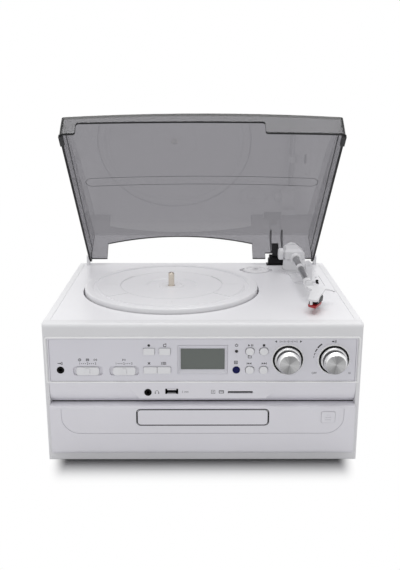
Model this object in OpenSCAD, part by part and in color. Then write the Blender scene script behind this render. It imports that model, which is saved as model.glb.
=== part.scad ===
// Stereo music centre: a record deck, radio and disc player in one cabinet, with a hinged dust cover.
// The origin is the centre of the cabinet's footprint on the table. X runs to the right, Y to the back, Z up.
// Depths are counted from the cabinet's front face, heights and drops from the top of its deck.

/* [Cabinet] */
// Width over the side boards
body_w = 340; // [334:1:370]
// Depth from the front face to the back edge
body_d = 272; // [270:1:300]
// Height from the base to the deck
body_h = 158; // [156:1:180]
// Thickness of the side boards
board_t = 6.7; // [5:0.1:8]
// Thickness of the base board
base_t = 6; // [4:0.5:8]
// Thickness of the rear panel
rear_t = 3; // [2:0.5:5]
// Height of the rubber feet
foot_h = 4; // [2:0.5:12]
// Diameter of the rubber feet
foot_d = 18; // [12:1:28]
// Inset of the feet from the cabinet's sides
foot_inset = 28; // [20:1:45]
// Gap between pieces that are put together
fit_gap = 0.2; // [0.1:0.05:0.3]
// Radial gap of a shaft that turns in its bore
run_gap = 0.05; // [0.03:0.01:0.08]

/* [Front frame] */
// Depth of the frame from its front to the side boards
frame_d = 13.5; // [11:0.5:16]
// Width of its side stiles
frame_side = 4.8; // [4:0.1:6]
// Height of its top rail
frame_top = 14; // [12:0.5:18]
// Height of its bottom rail
frame_bottom = 8.9; // [7:0.1:11]
// Radius of its top front edge
frame_round = 4.8; // [3:0.2:6]

/* [Fascia] */
// Wall of the moulded fascia
fascia_wall = 2.5; // [2:0.1:2.8]
// Height of the raised rim above the control plate
rim_h = 2.9; // [2:0.1:4]
// Width of the raised rim beside the control plate
rim_side = 1.3; // [1:0.1:3]
// Height of the control plate
plate_h = 48.1; // [47:0.1:50]
// Thickness of the control plate
plate_t = 1.2; // [0.8:0.1:1.6]
// Depth of the control plate behind the rim
plate_sink = 0.6; // [0.3:0.1:1]
// Height of the bevel under the control plate
plate_bevel = 1.4; // [0.8:0.1:2]
// Height of the straight band under the control plate
band_h = 6; // [4:0.5:8]
// Height over which the band rolls under
roll_h = 17.4; // [16:0.2:19]
// Depth that the band rolls back
roll_d = 8; // [6:0.5:9]
// Height of the crease between the band and the lower panel
crease_h = 3.1; // [2:0.1:4]
// Distance that the lower panel stands proud
lower_out = 6; // [4:0.5:8]
// Radius of the lower panel's edges
lower_round = 2.4; // [1:0.2:3]
// Height of the rounding along the lower panel's bottom edge
lower_edge = 6; // [3:0.5:8]
// Depth of the slant along the fascia's top edge
rim_slant = 1.8; // [0.6:0.1:2.2]
// Width of the socket tongue along its lower edge
tongue_w = 136; // [132:1:144]
// Drop of the tongue's lower edge below the deck
tongue_drop = 84.9; // [84:0.1:86]
// Slant of the tongue's sides, as width per height
tongue_slant = 1.02; // [0.5:0.01:1.2]
// Distance of the groove outline from the cabinet's sides
groove_inset = 17; // [12:1:30]
// Drop of the groove's lower line below the deck
groove_drop = 123.5; // [118:0.5:132]
// Radius of the groove's corners
groove_r = 20; // [10:1:26]
// Width and depth of the groove
groove_cut = 0.6; // [0.4:0.1:1]

/* [Display] */
// Width of the display bezel
bezel_w = 52.8; // [50:0.2:56]
// Height of the display bezel
bezel_h = 32.4; // [30:0.2:35]
// Width of the display window
lcd_w = 47; // [44:0.5:48]
// Height of the display window
lcd_h = 23.6; // [21:0.2:25]
// Drop of the display's centre below the deck
lcd_drop = 40.3; // [40:0.1:41]
// Diameter of the power lamp
led_d = 3.2; // [2:0.1:5]
// Diameter of the remote sensor's lens
ir_d = 8; // [6:0.2:9]
// Distance of the lamp and the lens from the display's centre
led_x = 36; // [34:0.5:38]

/* [Buttons] */
// Drop of the upper row of buttons
row_top = 30.8; // [30:0.1:31.5]
// Drop of the lower row of buttons
row_low = 52; // [51:0.1:53]
// Width of the square buttons
key_w = 12; // [10:0.1:13]
// Height of the square buttons
key_h = 7.3; // [6:0.1:8]
// Width of the paired buttons
pair_w = 14.3; // [12:0.1:14.5]
// Width of the round buttons
oval_w = 9.2; // [7:0.1:10]
// Height of the round buttons
oval_h = 8.3; // [7:0.1:9]
// Width of the eject button
eject_w = 15; // [12:0.5:17]
// Height of the eject button
eject_h = 13; // [10:0.5:15]
// Travel of each button
press = 0.8; // [0.4:0.1:0.9]
// Distance that the buttons stand proud of the plate
key_proud = 1.6; // [1.1:0.1:2.5]

/* [Slide switches] */
// Length of the slider slots
slot_w = 31.5; // [30:0.5:33]
// Corner radius of the slots and caps
slot_r = 3; // [1.5:0.1:3.4]
// Height of the slider slots
slot_h = 10.1; // [9:0.1:11]
// Length of the slider caps
slider_w = 24; // [22:0.2:25]
// Travel of the sliders to each side
slider_travel = 3.4; // [2:0.1:3.4]
// Drop of the sliders below the deck
slider_drop = 53; // [52:0.1:54]

/* [Knobs] */
// Drop of the knobs' centres below the deck
knob_drop = 40.3; // [40:0.1:42.5]
// Radius of the knob's skirt
skirt_r = 14.1; // [13:0.1:14.8]
// Radius of the knob's grip
knob_r = 12.6; // [10:0.1:12.8]
// Distance that the knobs stand out in front of the cabinet
knob_out = 15.2; // [14:0.5:20]
// Radius of the opening in the collar round each knob
collar_r = 16.2; // [15.4:0.1:16.4]
// Radius of the collars' outer edge
collar_out = 17.4; // [17:0.1:19]
// Radius of the control shafts
shaft_r = 3; // [2.5:0.1:3.2]

/* [Sockets] */
// Diameter of a phone plug's bore
jack_bore = 3.6; // [3.5:0.1:3.8]
// Diameter of the visible jack bush
jack_d = 7.8; // [7:0.1:8.4]
// Drop of the sockets in the tongue
socket_drop = 77.6; // [77:0.1:78.4]
// Width of the data port's opening
usb_w = 12.8; // [12:0.1:14]
// Height of the data port's opening
usb_h = 4.8; // [4.6:0.1:5.6]
// Width of the memory card slot
card_w = 25; // [24:0.1:27]
// Height of the memory card slot
card_h = 2.4; // [2.2:0.1:3]

/* [Disc tray] */
// Width of the tray's front
tray_w = 142.3; // [138:0.5:146]
// Height of the tray's front
tray_h = 18.1; // [16:0.1:19]
// Drop of the tray's centre below the deck
tray_drop = 104.2; // [103:0.1:105.5]
// Gap round the tray's front
tray_gap = 0.8; // [0.5:0.1:1.2]
// Travel of the tray
tray_travel = 125; // [100:1:126]
// Diameter of the disc recess
disc_d = 120.6; // [120.2:0.1:122]
// Thickness of the tray's floor
tray_t = 4; // [3.4:0.1:4.4]

/* [Record deck] */
// Thickness of the moulded deck
deck_t = 3; // [2.5:0.1:4]
// Distance of the spindle from the cabinet's left side
spindle_in = 132.3; // [130:0.1:135]
// Distance of the spindle from the front face
spindle_y = 139.5; // [138:0.5:142]
// Radius of the platter
platter_r = 105.6; // [100:0.2:106]
// Height of the platter's rim above the deck
platter_top = 6; // [5:0.1:7]
// Gap between the platter and its well
platter_gap = 2; // [1.5:0.1:3]
// Depth of the platter's well
well_depth = 10; // [10:0.1:12]
// Radius of the spindle
spindle_r = 3.6; // [3.5:0.01:3.62]
// Height of the spindle above the deck
spindle_top = 21; // [16:0.5:22]
// Radius of the drive ring under the platter
drive_r = 60; // [56:0.5:64]
// Radius of the motor's pulley
pulley_r = 4; // [3:0.1:5]
// Distance from the spindle to the motor
motor_dist = 82; // [78:0.5:84]
// Thickness of the drive belt
belt_t = 1.2; // [0.8:0.1:1.6]
// Diameter of the adapter for large-hole records
adapter_d = 37.5; // [36:0.1:38.2]
// Height of the adapter
adapter_h = 5.2; // [4.5:0.1:6]

/* [Tonearm] */
// Distance of the arm's pivot from the cabinet's right side
arm_in = 45.2; // [44:0.1:48]
// Distance of the arm's pivot from the front face
arm_y = 230; // [229:0.5:231]
// Radius of the turret that carries the arm
turret_r = 15.5; // [14.5:0.1:16]
// Radius of the arm tube
tube_r = 3.9; // [3:0.1:4]
// Height of the arm's lift axis above the deck
lift_z = 22.5; // [22:0.1:23]
// Distance from the pivot to the stylus
arm_reach = 201; // [198:0.5:204]
// Radius of the counterweight
weight_r = 9.6; // [8:0.1:10]

/* [Dust cover] */
// Wall of the dust cover
cover_t = 2.5; // [2:0.1:2.8]
// Inset of the cover's rim from the cabinet's sides
cover_inset = 14; // [12:0.5:18]
// Distance that the cover's sides lean in
cover_lean = 2.5; // [1:0.1:4]
// Height of the cover's rear
cover_rear_h = 46; // [44:0.5:50]
// Height of the cover's front
cover_front_h = 24; // [22:0.5:28]
// Bow of the cover's front edge
cover_bow = 2.8; // [1.5:0.1:5]
// Crown of the cover's top along its front edge
cover_crown = 3.4; // [0.5:0.1:4]
// Radius of the cover's front corners
cover_corner = 4; // [3:0.5:8]
// Angle at which the cover stands open
cover_open = 45.3; // [0:0.1:60]
// Distance of the hinge pins from the cabinet's back
pin_back = 5; // [4.8:0.1:6]
// Height of the hinge pins above the deck
pin_z = 9; // [8.6:0.1:9.4]
// Radius of the hinge pins
pin_r = 2; // [1.6:0.1:2.2]
// Height of the closed cover's rim above the deck
cover_lift = 1.6; // [1.4:0.1:2]

/* [Loudspeakers] */
// Outer diameter of each loudspeaker
speaker_d = 77; // [70:1:82]
// Distance of the loudspeakers from the front face
speaker_y = 150; // [140:1:165]
// Drop of the loudspeakers' centres below the deck
speaker_drop = 86; // [80:1:95]
// Diameter of the grille's holes
grille_hole = 3.2; // [2:0.1:3.6]
// Spacing of the grille's holes
grille_pitch = 6.2; // [5.6:0.1:8]
// Rings of holes round the middle one
grille_rings = 5; // [3:1:5]

/* [Hidden] */
$fn = 48;
e = 0.01;

// Places on the cabinet
front_y = -body_d / 2;
back_y = body_d / 2;
deck_z = foot_h + body_h;
half_w = body_w / 2;
inner_w = body_w - 2 * board_t;
shell_y = front_y + frame_d;

// The fascia's outline, as drops below the deck
fascia_d = frame_d - fit_gap;
fascia_w = body_w - 2 * frame_side - 2 * fit_gap;
z_top = deck_z - frame_top - fit_gap;
z_plate = deck_z - frame_top - rim_h;
z_plate_low = z_plate - plate_h;
z_roll = z_plate_low - band_h;
z_crease = z_roll - roll_h;
z_shelf = z_crease - crease_h;
z_bottom = foot_h + frame_bottom + fit_gap;
plate_front = front_y + plate_sink;
plate_back = plate_front + plate_t;
wall_back = plate_back + fascia_wall;
lower_front = front_y - lower_out;
lower_back = lower_front + fascia_wall;
plate_w = fascia_w - 2 * rim_side;

// The circuit board behind the control plate and the switches on it
board_y = front_y + 14;
pcb_t = 1.6;
key_flange = 1;
stem_r = 1.5;
switch_size = 6;
switch_h = 3.5;
plunger_h = 1;
plunger_r = 1.7;
stem_end = board_y - switch_h - plunger_h - fit_gap - press;
key_front = plate_front - key_proud;

// Columns of buttons and sockets, counted from the middle
record_x = -57.3;
mode_x = -40.4;
pair_x = -48.7;
play_x = 50.3;
stop_x = 65.1;
phones_x = -59.1;
usb_x = -33.4;
card_x = 40.7;
eject_x = half_w - 34.2;

// What is free on the plate between neighbours is shared out among the gaps
aux_x = 17.7 - half_w;
left_free = record_x - key_w / 2 - aux_x - jack_d / 2 - 2 * slot_w;
function_x = aux_x + jack_d / 2 + 0.4367 * left_free + slot_w / 2;
band_x = record_x - key_w / 2 - 0.224 * left_free - slot_w / 2;
right_free = half_w - frame_side - rim_side - stop_x - oval_w / 2 - 4 * collar_out;
tuning_x = stop_x + oval_w / 2 + 0.1545 * right_free + collar_out;
volume_x = tuning_x + 2 * collar_out + 0.5813 * right_free;

// The disc tray and its drive
tray_z = deck_z - tray_drop;
tray_back = lower_front - 0.3 + 3.5;
tray_len = 152;
tray_half = 66;
disc_y = tray_back + 6 + disc_d / 2;
tray_low = tray_z - tray_t / 2;
tray_high = tray_z + tray_t / 2;
rail_gap = 0.3;
chassis_y = front_y + 13;
chassis_len = 168;
chassis_half = 73;
chassis_z = tray_z - 19;
gear_module = 1;
gear_teeth = 16;
gear_pitch_r = gear_module * gear_teeth / 2;
gear_x = 46;
gear_y = front_y + 24;
rack_h = 4.5;

// The record deck
platter_x = spindle_in - half_w;
axle_r = spindle_r + 0.9;
platter_y = front_y + spindle_y;
well_r = platter_r + platter_gap;
well_z = deck_z - well_depth;
motor_angle = 145;
motor_x = platter_x + motor_dist * cos(motor_angle);
motor_y = platter_y + motor_dist * sin(motor_angle);
web_z = deck_z + platter_top - 4.5;
belt_low = well_z + 2.6;
belt_h = 4.4;
belt_gap = 0.3;
adapter_sink = 3.7;

// The tonearm and the speed switch beside it
arm_x = half_w - arm_in;
arm_py = front_y + arm_y;
adapter_x = platter_x + 0.6837 * (arm_x - platter_x);
adapter_y = arm_py + 1.5;
speed_x = half_w - 23.6;
speed_y = front_y + 167.6;
speed_travel = 6;
lift_axis = deck_z + lift_z;
platform_h = 1.2;
turret_low = deck_z + platform_h + 0.6;
turret_top = deck_z + 17.6;
tube_root_y = arm_py - 16.3;
tube_end_y = arm_py - 122;
tube_root_z = lift_axis - 2.8;
tube_end_z = deck_z + 17.2;
tube_tilt = atan2(tube_root_z - tube_end_z, tube_root_y - tube_end_y);
tube_len = norm([tube_root_y - tube_end_y, tube_root_z - tube_end_z]);
head_top = tube_end_z - 0.6;
head_t = 2.4;
stylus_z = deck_z + 8;
rest_y = arm_py - 63;
rest_tube_z = tube_root_z - (tube_root_y - rest_y) * tan(tube_tilt);
collar_sleeve_r = tube_r + 1.2;

// The dust cover, drawn closed and then swung open
pin_y = back_y - pin_back;
pin_height = deck_z + pin_z;
cover_w = body_w - 2 * cover_inset;
cover_back = pin_y - 3;
cover_rim = deck_z + cover_lift;
cover_len = cover_back - front_y - 3.3;
brace_x = half_w - 67;
brace_w = 17;
brace_knuckle = 4.6;
brace_r = 4.6;
rib_span = [brace_x - 5.7, brace_x + 9.8];

function fy(depth) = front_y + depth;
function dz(height) = deck_z + height;

module round_rect(w, h, r) {
  square([w - 2 * r, h], center = true);
  square([w, h - 2 * r], center = true);
  for (x = [-1, 1], y = [-1, 1]) translate([x * (w / 2 - r), y * (h / 2 - r)]) circle(r);
}

// A profile drawn in depth and height, run along X about the middle
module along_x(len) {
  rotate([90, 0, 90]) translate([0, 0, -len / 2]) linear_extrude(len) children();
}

// An outline drawn in X and Z, given depth from y0 back to y1
module face_on(y0, y1) {
  translate([0, y1, 0]) rotate([90, 0, 0]) linear_extrude(y1 - y0) children();
}

module rod_y(y0, y1, r) {
  translate([0, y1, 0]) rotate([90, 0, 0]) cylinder(h = y1 - y0, r = r);
}

module rod_x(x0, x1, r) {
  translate([x0, 0, 0]) rotate([0, 90, 0]) cylinder(h = x1 - x0, r = r);
}

// Cabinet

module front_frame() {
  open_w = body_w - 2 * frame_side;
  open_h = body_h - frame_top - frame_bottom;
  color([0.76, 0.76, 0.78]) difference() {
    intersection() {
      along_x(body_w) translate([front_y, foot_h]) {
        translate([0, 1]) square([frame_d, body_h - 1 - frame_round]);
        translate([frame_round, 0]) square([frame_d - frame_round, body_h]);
        translate([1, 0]) square([frame_d - 1, 2]);
        translate([1, 1]) circle(1);
        translate([frame_round, body_h - frame_round]) circle(frame_round);
      }
      linear_extrude(deck_z + 10) translate([0, front_y + frame_d / 2 + 1]) round_rect(body_w, frame_d + 2, 2);
    }
    translate([-open_w / 2, front_y - 1, foot_h + frame_bottom]) cube([open_w, frame_d + 4, open_h]);
  }
}

module grille_holes() {
  for (q = [-grille_rings:grille_rings], r = [-grille_rings:grille_rings])
    if (abs(q + r) <= grille_rings)
      translate([grille_pitch * (q + r / 2), grille_pitch * r * sqrt(3) / 2]) circle(d = grille_hole, $fn = 24);
}

module side_board(side) {
  color([0.94, 0.94, 0.95]) translate([side * (body_w / 2 - board_t / 2), 0, 0])
    rotate([90, 0, 90]) translate([0, 0, -board_t / 2]) linear_extrude(board_t) difference() {
      translate([shell_y, foot_h]) square([body_d - frame_d, body_h]);
      translate([fy(speaker_y), dz(-speaker_drop)]) grille_holes();
    }
}

module side_panel_left() { side_board(-1); }
module side_panel_right() { side_board(1); }

module base_panel() {
  color([0.80, 0.79, 0.77]) difference() {
    translate([-inner_w / 2, shell_y, foot_h]) cube([inner_w, body_d - frame_d - rear_t, base_t]);
    for (x = [-3:3]) translate([x * 12 - 2, fy(196), foot_h - 1]) cube([4, 44, base_t + 2]);
  }
}

module rear_panel() {
  color([0.86, 0.86, 0.87]) face_on(back_y - rear_t, back_y) difference() {
    translate([-inner_w / 2 + fit_gap, foot_h]) square([inner_w - 2 * fit_gap, body_h - deck_t - fit_gap]);
    for (x = [-6:6], row = [0, 1]) translate([x * 14 - 2, dz(-62 - row * 34)]) square([4, 26]);
    for (x = [0, 1]) translate([-112 + x * 18, dz(-120)]) circle(4.4);
    translate([112, dz(-122)]) square([21, 13], center = true);
  }
}

module rubber_feet() {
  color([0.12, 0.12, 0.13]) for (x = [-1, 1], y = [-1, 1])
    translate([x * (body_w / 2 - foot_inset), y * (body_d / 2 - foot_inset), 0])
      rotate_extrude() polygon([[0, 0], [foot_d / 2 - 2, 0], [foot_d / 2 - 1, 1], [foot_d / 2, foot_h], [0, foot_h]]);
}

// Deck

module platform_outline() {
  translate([arm_x, arm_py]) circle(turret_r + 4.2);
  polygon([[arm_x - 8, arm_py - 66], [arm_x + 19.2, arm_py - 66], [arm_x + 19.2, arm_py - 37], [arm_x + 28, arm_py - 4],
    [arm_x + 12, arm_py + 16], [arm_x - 14.6, arm_py - 13], [arm_x - 9, arm_py - 27]]);
}

module motor_hole() {
  translate([motor_x, motor_y]) circle(pulley_r + 7);
}

module finger_notches() {
  for (x = [-1, 1]) translate([adapter_x + x * (adapter_d / 2), adapter_y]) round_rect(7, 9, 2);
}

module top_deck() {
  cup_r = adapter_d / 2 + 0.4;
  deck_y = shell_y + fit_gap;
  deck_w = inner_w - 2 * fit_gap;
  color([0.93, 0.93, 0.95]) difference() {
    union() {
      // plate with its well
      translate([0, 0, deck_z - deck_t]) linear_extrude(deck_t) difference() {
        translate([-deck_w / 2, deck_y]) square([deck_w, back_y - deck_y]);
        translate([platter_x, platter_y]) circle(well_r + 2.5 - e, $fn = 120);
      }
      translate([platter_x, platter_y, well_z - 2.5]) rotate_extrude($fn = 120)
        polygon([[0, 0], [well_r + 2.5, 0], [well_r + 2.5, well_depth + 2.5], [well_r, well_depth + 2.5],
          [well_r, 2.5], [9, 2.5], [9, 3.3], [0, 3.3]]);
      translate([platter_x, platter_y, well_z - 10]) cylinder(h = 8, r = 9);
      // cup for the adapter and its finger notches
      translate([0, 0, deck_z - adapter_sink - 2]) linear_extrude(adapter_sink) {
        translate([adapter_x, adapter_y]) circle(cup_r + 2);
        for (x = [-1, 1]) translate([adapter_x + x * (adapter_d / 2), adapter_y]) round_rect(11, 13, 3);
      }
      // raised pad under the tonearm
      translate([0, 0, deck_z - e]) linear_extrude(platform_h + e) platform_outline();
      // skirts that stiffen the deck
      for (x = [-1, 1]) translate([x * (deck_w / 2 - 1) - 1, deck_y + 4, deck_z - 12]) cube([2, body_d - frame_d - 16, 10]);
      translate([-deck_w / 2, back_y - rear_t - fit_gap - 2, deck_z - 12]) cube([deck_w, 2, 10]);
    }
    translate([platter_x, platter_y, well_z - 11]) cylinder(h = 20, r = axle_r + run_gap);
    translate([0, 0, well_z - 5]) linear_extrude(5 + 1) motor_hole();
    translate([0, 0, deck_z - adapter_sink]) linear_extrude(10) {
      translate([adapter_x, adapter_y]) circle(cup_r);
      finger_notches();
    }
    translate([speed_x, speed_y, deck_z - deck_t - 1]) linear_extrude(deck_t + 3) round_rect(3.4, 2 * speed_travel + 4, 1.6);
    translate([arm_x, arm_py, deck_z - deck_t - 1]) cylinder(h = deck_t + 4, r = 5);
  }
}

module hinge_posts() {
  thick = 3.8;
  color([0.92, 0.92, 0.94]) for (x = [-1, 1]) {
    translate([x * (cover_w / 2 + 0.3 + thick / 2), 0, 0]) along_x(thick) {
      translate([pin_y, pin_height]) circle(pin_r + 1.6);
      polygon([[pin_y - 5, deck_z], [pin_y + pin_back - 0.4, deck_z], [pin_y + pin_r + 1.6, pin_height], [pin_y - pin_r - 1.6, pin_height]]);
    }
    translate([0, pin_y, pin_height])
      rod_x(x > 0 ? cover_w / 2 - cover_t - 0.6 : -cover_w / 2 - 2.5, x > 0 ? cover_w / 2 + 2.5 : cover_t + 0.6 - cover_w / 2, pin_r);
  }
}

module spindle() {
  color([0.78, 0.72, 0.62]) translate([platter_x, platter_y, 0]) rotate_extrude() {
    polygon([[0, well_z - 12], [axle_r, well_z - 12], [axle_r, dz(platter_top - 1.9)], [spindle_r, dz(platter_top - 1.9)],
      [spindle_r, dz(spindle_top - 2.2)],
      for (a = [0:15:90]) [spindle_r * cos(a), dz(spindle_top - 2.2) + 2.2 * sin(a)]]);
  }
}

module ring_sector(r0, r1, half) {
  polygon([for (a = [-half:3:half]) r1 * [cos(a), sin(a)], for (a = [half:-3:-half]) r0 * [cos(a), sin(a)]]);
}

module platter() {
  top = platter_top;
  low = well_z - deck_z + 5;
  rib_low = well_z - deck_z + 2;
  color([0.92, 0.92, 0.93]) translate([platter_x, platter_y, deck_z]) difference() {
    union() {
      rotate_extrude($fn = 144) polygon([[axle_r + run_gap, well_z - deck_z + 1.1], [9, well_z - deck_z + 1.1], [9, top - 4.5],
        [drive_r - 3, top - 4.5], [drive_r - 3, rib_low], [drive_r, rib_low], [drive_r, top - 4.5], [platter_r - 4.6, top - 4.5],
        [platter_r - 4.6, low], [platter_r - 0.6, low], [platter_r, low + 0.6],
        for (a = [0:15:90]) [platter_r - 2 + 2 * cos(a), top - 2 + 2 * sin(a)],
        [platter_r - 8, top], [platter_r - 10, top - 1], [platter_r - 10.6, top - 2], [platter_r - 15, top - 2], [platter_r - 15.6, top - 1],
        [32, top - 1], [30, top - 2.2], [16, top - 2.2], [15.4, top - 1.4], [13, top - 1.4], [12.4, top - 2], [axle_r + run_gap, top - 2]]);
      // two low raised sectors, left and right
      for (a = [0, 180]) rotate([0, 0, a]) translate([0, 0, top - 1 - e]) linear_extrude(0.5) ring_sector(63, platter_r - 16.6, 38);
    }
    // fine line between the sectors and the middle
    translate([0, 0, top - 1.3]) rotate_extrude($fn = 144) translate([61.8, 0]) square([0.6, 1]);
    // short ribs drawn into the sectors, and a mark at front and back
    for (a = [0, 180]) rotate([0, 0, a]) translate([67, -0.3, top - 0.9]) cube([15, 0.6, 1]);
    for (a = [90, 270]) rotate([0, 0, a]) for (x = [-3, 2.4]) translate([72, x, top - 1.3]) cube([6, 0.6, 1]);
  }
}

// Belt line round the drive ring and the pulley, grown outward by out
function belt_line(out) = let (
  a = drive_r + belt_gap + out,
  b = pulley_r + belt_gap + out,
  lean = acos((a - b) / motor_dist))
  concat([for (i = [0:60]) let (t = lean + i * (360 - 2 * lean) / 60) a * [cos(t), sin(t)]],
    [for (i = [0:20]) let (t = -lean + i * 2 * lean / 20) [motor_dist, 0] + b * [cos(t), sin(t)]]);

module drive_belt() {
  color([0.10, 0.10, 0.10]) translate([platter_x, platter_y, belt_low]) rotate([0, 0, motor_angle])
    linear_extrude(belt_h) difference() {
      polygon(belt_line(belt_t));
      polygon(belt_line(0));
    }
}

module motor() {
  color([0.66, 0.67, 0.68]) translate([motor_x, motor_y, well_z - 2.5]) {
    translate([0, 0, -22]) cylinder(h = 20.4, r = 14);
    difference() {
      translate([0, 0, -1.6]) linear_extrude(1.6) {
        circle(14);
        square([42, 12], center = true);
      }
      translate([0, 0, -2]) cylinder(h = 3, r = 1 + run_gap);
    }
  }
}

module motor_pulley() {
  low = belt_low - 0.9;
  color([0.78, 0.66, 0.38]) translate([motor_x, motor_y, 0]) {
    translate([0, 0, well_z - 2.5 - 1.6]) cylinder(h = low - well_z + 4.4, r = 1);
    translate([0, 0, low]) rotate_extrude() polygon([[0, 0], [pulley_r + 1.9, 0], [pulley_r + 1.9, 0.5], [pulley_r, 0.8],
      [pulley_r, belt_h + 1], [pulley_r + 1.2, belt_h + 1.2], [pulley_r + 1.2, belt_h + 1.7], [0, belt_h + 1.7]]);
  }
}

module adapter_45() {
  color([0.93, 0.93, 0.93]) translate([adapter_x, adapter_y, deck_z - adapter_sink + 0.1]) difference() {
    rotate_extrude() polygon([[3.65, 0], [adapter_d / 2 - 0.6, 0], [adapter_d / 2, 0.6], [adapter_d / 2, adapter_h - 0.8],
      [adapter_d / 2 - 0.8, adapter_h], [adapter_d / 2 - 6, adapter_h], [adapter_d / 2 - 6.6, adapter_h - 1],
      [8, adapter_h - 1], [7.4, adapter_h], [3.65, adapter_h]]);
    for (x = [-1, 1]) translate([x * (adapter_d / 2), 0, 1.6]) linear_extrude(adapter_h) round_rect(7, 8, 2);
  }
}

module speed_switch() {
  color([0.08, 0.08, 0.09]) translate([speed_x, speed_y, 0]) {
    translate([0, 0, dz(-5.4)]) linear_extrude(2.2) round_rect(7, 2 * speed_travel + 10, 1.5);
    translate([0, 0, dz(-3.3)]) cylinder(h = 4 + platform_h, r = 1.3);
    translate([0, 0, dz(platform_h + 0.3)]) rotate_extrude() polygon([[0, 0], [1.8, 0], [2, 0.4], [1.8, 1.2], [1.1, 1.7], [0, 1.8]]);
  }
}

// Tonearm

module arm_base() {
  color([0.90, 0.90, 0.91]) translate([arm_x, arm_py, 0]) {
    difference() {
      union() {
        translate([0, 0, deck_z + platform_h]) rotate_extrude() polygon([[0, 0], [turret_r + 2.4, 0], [turret_r + 2.4, 0.8],
          [turret_r + 1.6, 1.6], [turret_r + 0.6, 1.6], [turret_r + 0.6, 0.3], [0, 0.3]]);
        translate([0, 0, deck_z - 12]) cylinder(h = 12 + platform_h + 0.2, r = 4.8);
      }
      translate([0, 0, deck_z - 13]) cylinder(h = 20, r = 2.5 + run_gap);
    }
    translate([0, 0, deck_z - deck_t - 2.2]) difference() {
      cylinder(h = 2.2, r = 9);
      translate([0, 0, -1]) cylinder(h = 4, r = 4.7);
    }
  }
}

module arm_turret() {
  color([0.90, 0.90, 0.91]) translate([arm_x, arm_py, 0]) {
    translate([0, 0, turret_low]) rotate_extrude() polygon([[0, 0], [turret_r, 0], [turret_r, 1.2], [turret_r - 0.8, turret_top - turret_low - 1],
      [turret_r - 1.8, turret_top - turret_low], [0, turret_top - turret_low]]);
    translate([0, 0, deck_z - 13.5]) cylinder(h = 17, r = 2.5);
    translate([-4, -4, turret_top - 1]) cube([8, 8, lift_axis - turret_top + 3.6]);
    translate([0, 0, lift_axis]) rod_x(-12.6, 10.2, 1.5);
  }
}

// Side view of the housing, in depth from the pivot and height from the lift axis
module housing_side() {
  polygon([[-15, -4], [-15, 5.6], [-11, 9.4], [9.5, 10.6], [13, 8.6], [14, 3], [14, -2.2], [2, -4]]);
}

module tube_place() {
  translate([arm_x, tube_root_y, tube_root_z]) rotate([tube_tilt, 0, 0]) children();
}

module arm_housing() {
  wall = 2.6;
  left = -14;
  right = 11.6;
  color([0.90, 0.90, 0.91]) difference() {
    translate([arm_x, arm_py, lift_axis]) {
      difference() {
        intersection() {
          translate([(left + right) / 2, 0, 0]) along_x(right - left) housing_side();
          face_on(-20, 20) polygon([[left, -5], [left, 7], [left + 2.4, 11], [right - 7.4, 11], [right, 4.4], [right, -5]]);
        }
        translate([left + wall, -11, -5]) cube([right - left - 2 * wall, 20, 11]);
        rod_x(left + 1, right - 1, 1.5 + run_gap);
      }
      // round boss on the left end of the lift axis
      translate([left - 8, -3, 1]) rotate([0, 90, 0])
        rotate_extrude() polygon([[0, 0], [6.4, 0], [7.8, 1.4], [7.8, 6], [5.4, 6.8], [5.4, 8.1], [0, 8.1]]);
      // socket that holds the tube, cut away over the turret
      difference() {
        translate([0, 0, tube_root_z - lift_axis]) rotate([90, 0, 0]) translate([0, 0, 14.6])
          rotate_extrude() polygon([[0, 0], [7.6, 0], [7.6, 1.4], [5.6, 5.2], [0, 5.2]]);
        translate([-10, -15.9, -20]) cube([20, 10, 16]);
      }
      // counterweight and its stub
      translate([-0.8, 0, 1]) {
        rod_y(13, 19, 3.2);
        translate([0, 28, 0]) rotate([90, 0, 0]) rotate_extrude() polygon([[0, 0], [weight_r - 1.4, 0], [weight_r, 1.4],
          [weight_r, 9], [weight_r - 0.8, 9.8], [0, 9.8]]);
      }
    }
    tube_place() rod_y(-10, 0.3, tube_r + 0.2);
  }
}

module arm_tube() {
  color([0.62, 0.62, 0.63]) tube_place() difference() {
    rod_y(-tube_len, 0, tube_r);
    rod_y(-tube_len - 1, 1, tube_r - 0.8);
  }
}

// White sleeve where the tube lies on its rest
module arm_collar() {
  color([0.93, 0.93, 0.94]) tube_place() translate([0, rest_y - tube_root_y, 0]) difference() {
    rod_y(-4.6, 4.6, collar_sleeve_r);
    rod_y(-6, 6, tube_r + run_gap);
  }
}

// Plan of the head shell's plate, from the end of the tube: it turns in towards the platter
function head_plan() = [[-4.9, -4], [-4.9, -18], [-2.6, -21], [-2.4, -27.5], [0.9, -31.7], [-8.8, -70], [-8.6, -72.4], [-6.6, -73.6],
  [-1.6, -75.8], [0.6, -75], [15.9, -31.4], [15.9, -28.9], [11.6, -24], [7, -19.6], [4.9, -15], [4.9, -4]];

// Frame of the cartridge: its origin is the middle of the plate's rear edge
head_turn = 16;

module head_place(z) {
  translate([arm_x + 8.4, tube_end_y - 30.3, z]) rotate([0, 0, -head_turn]) children();
}

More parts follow.
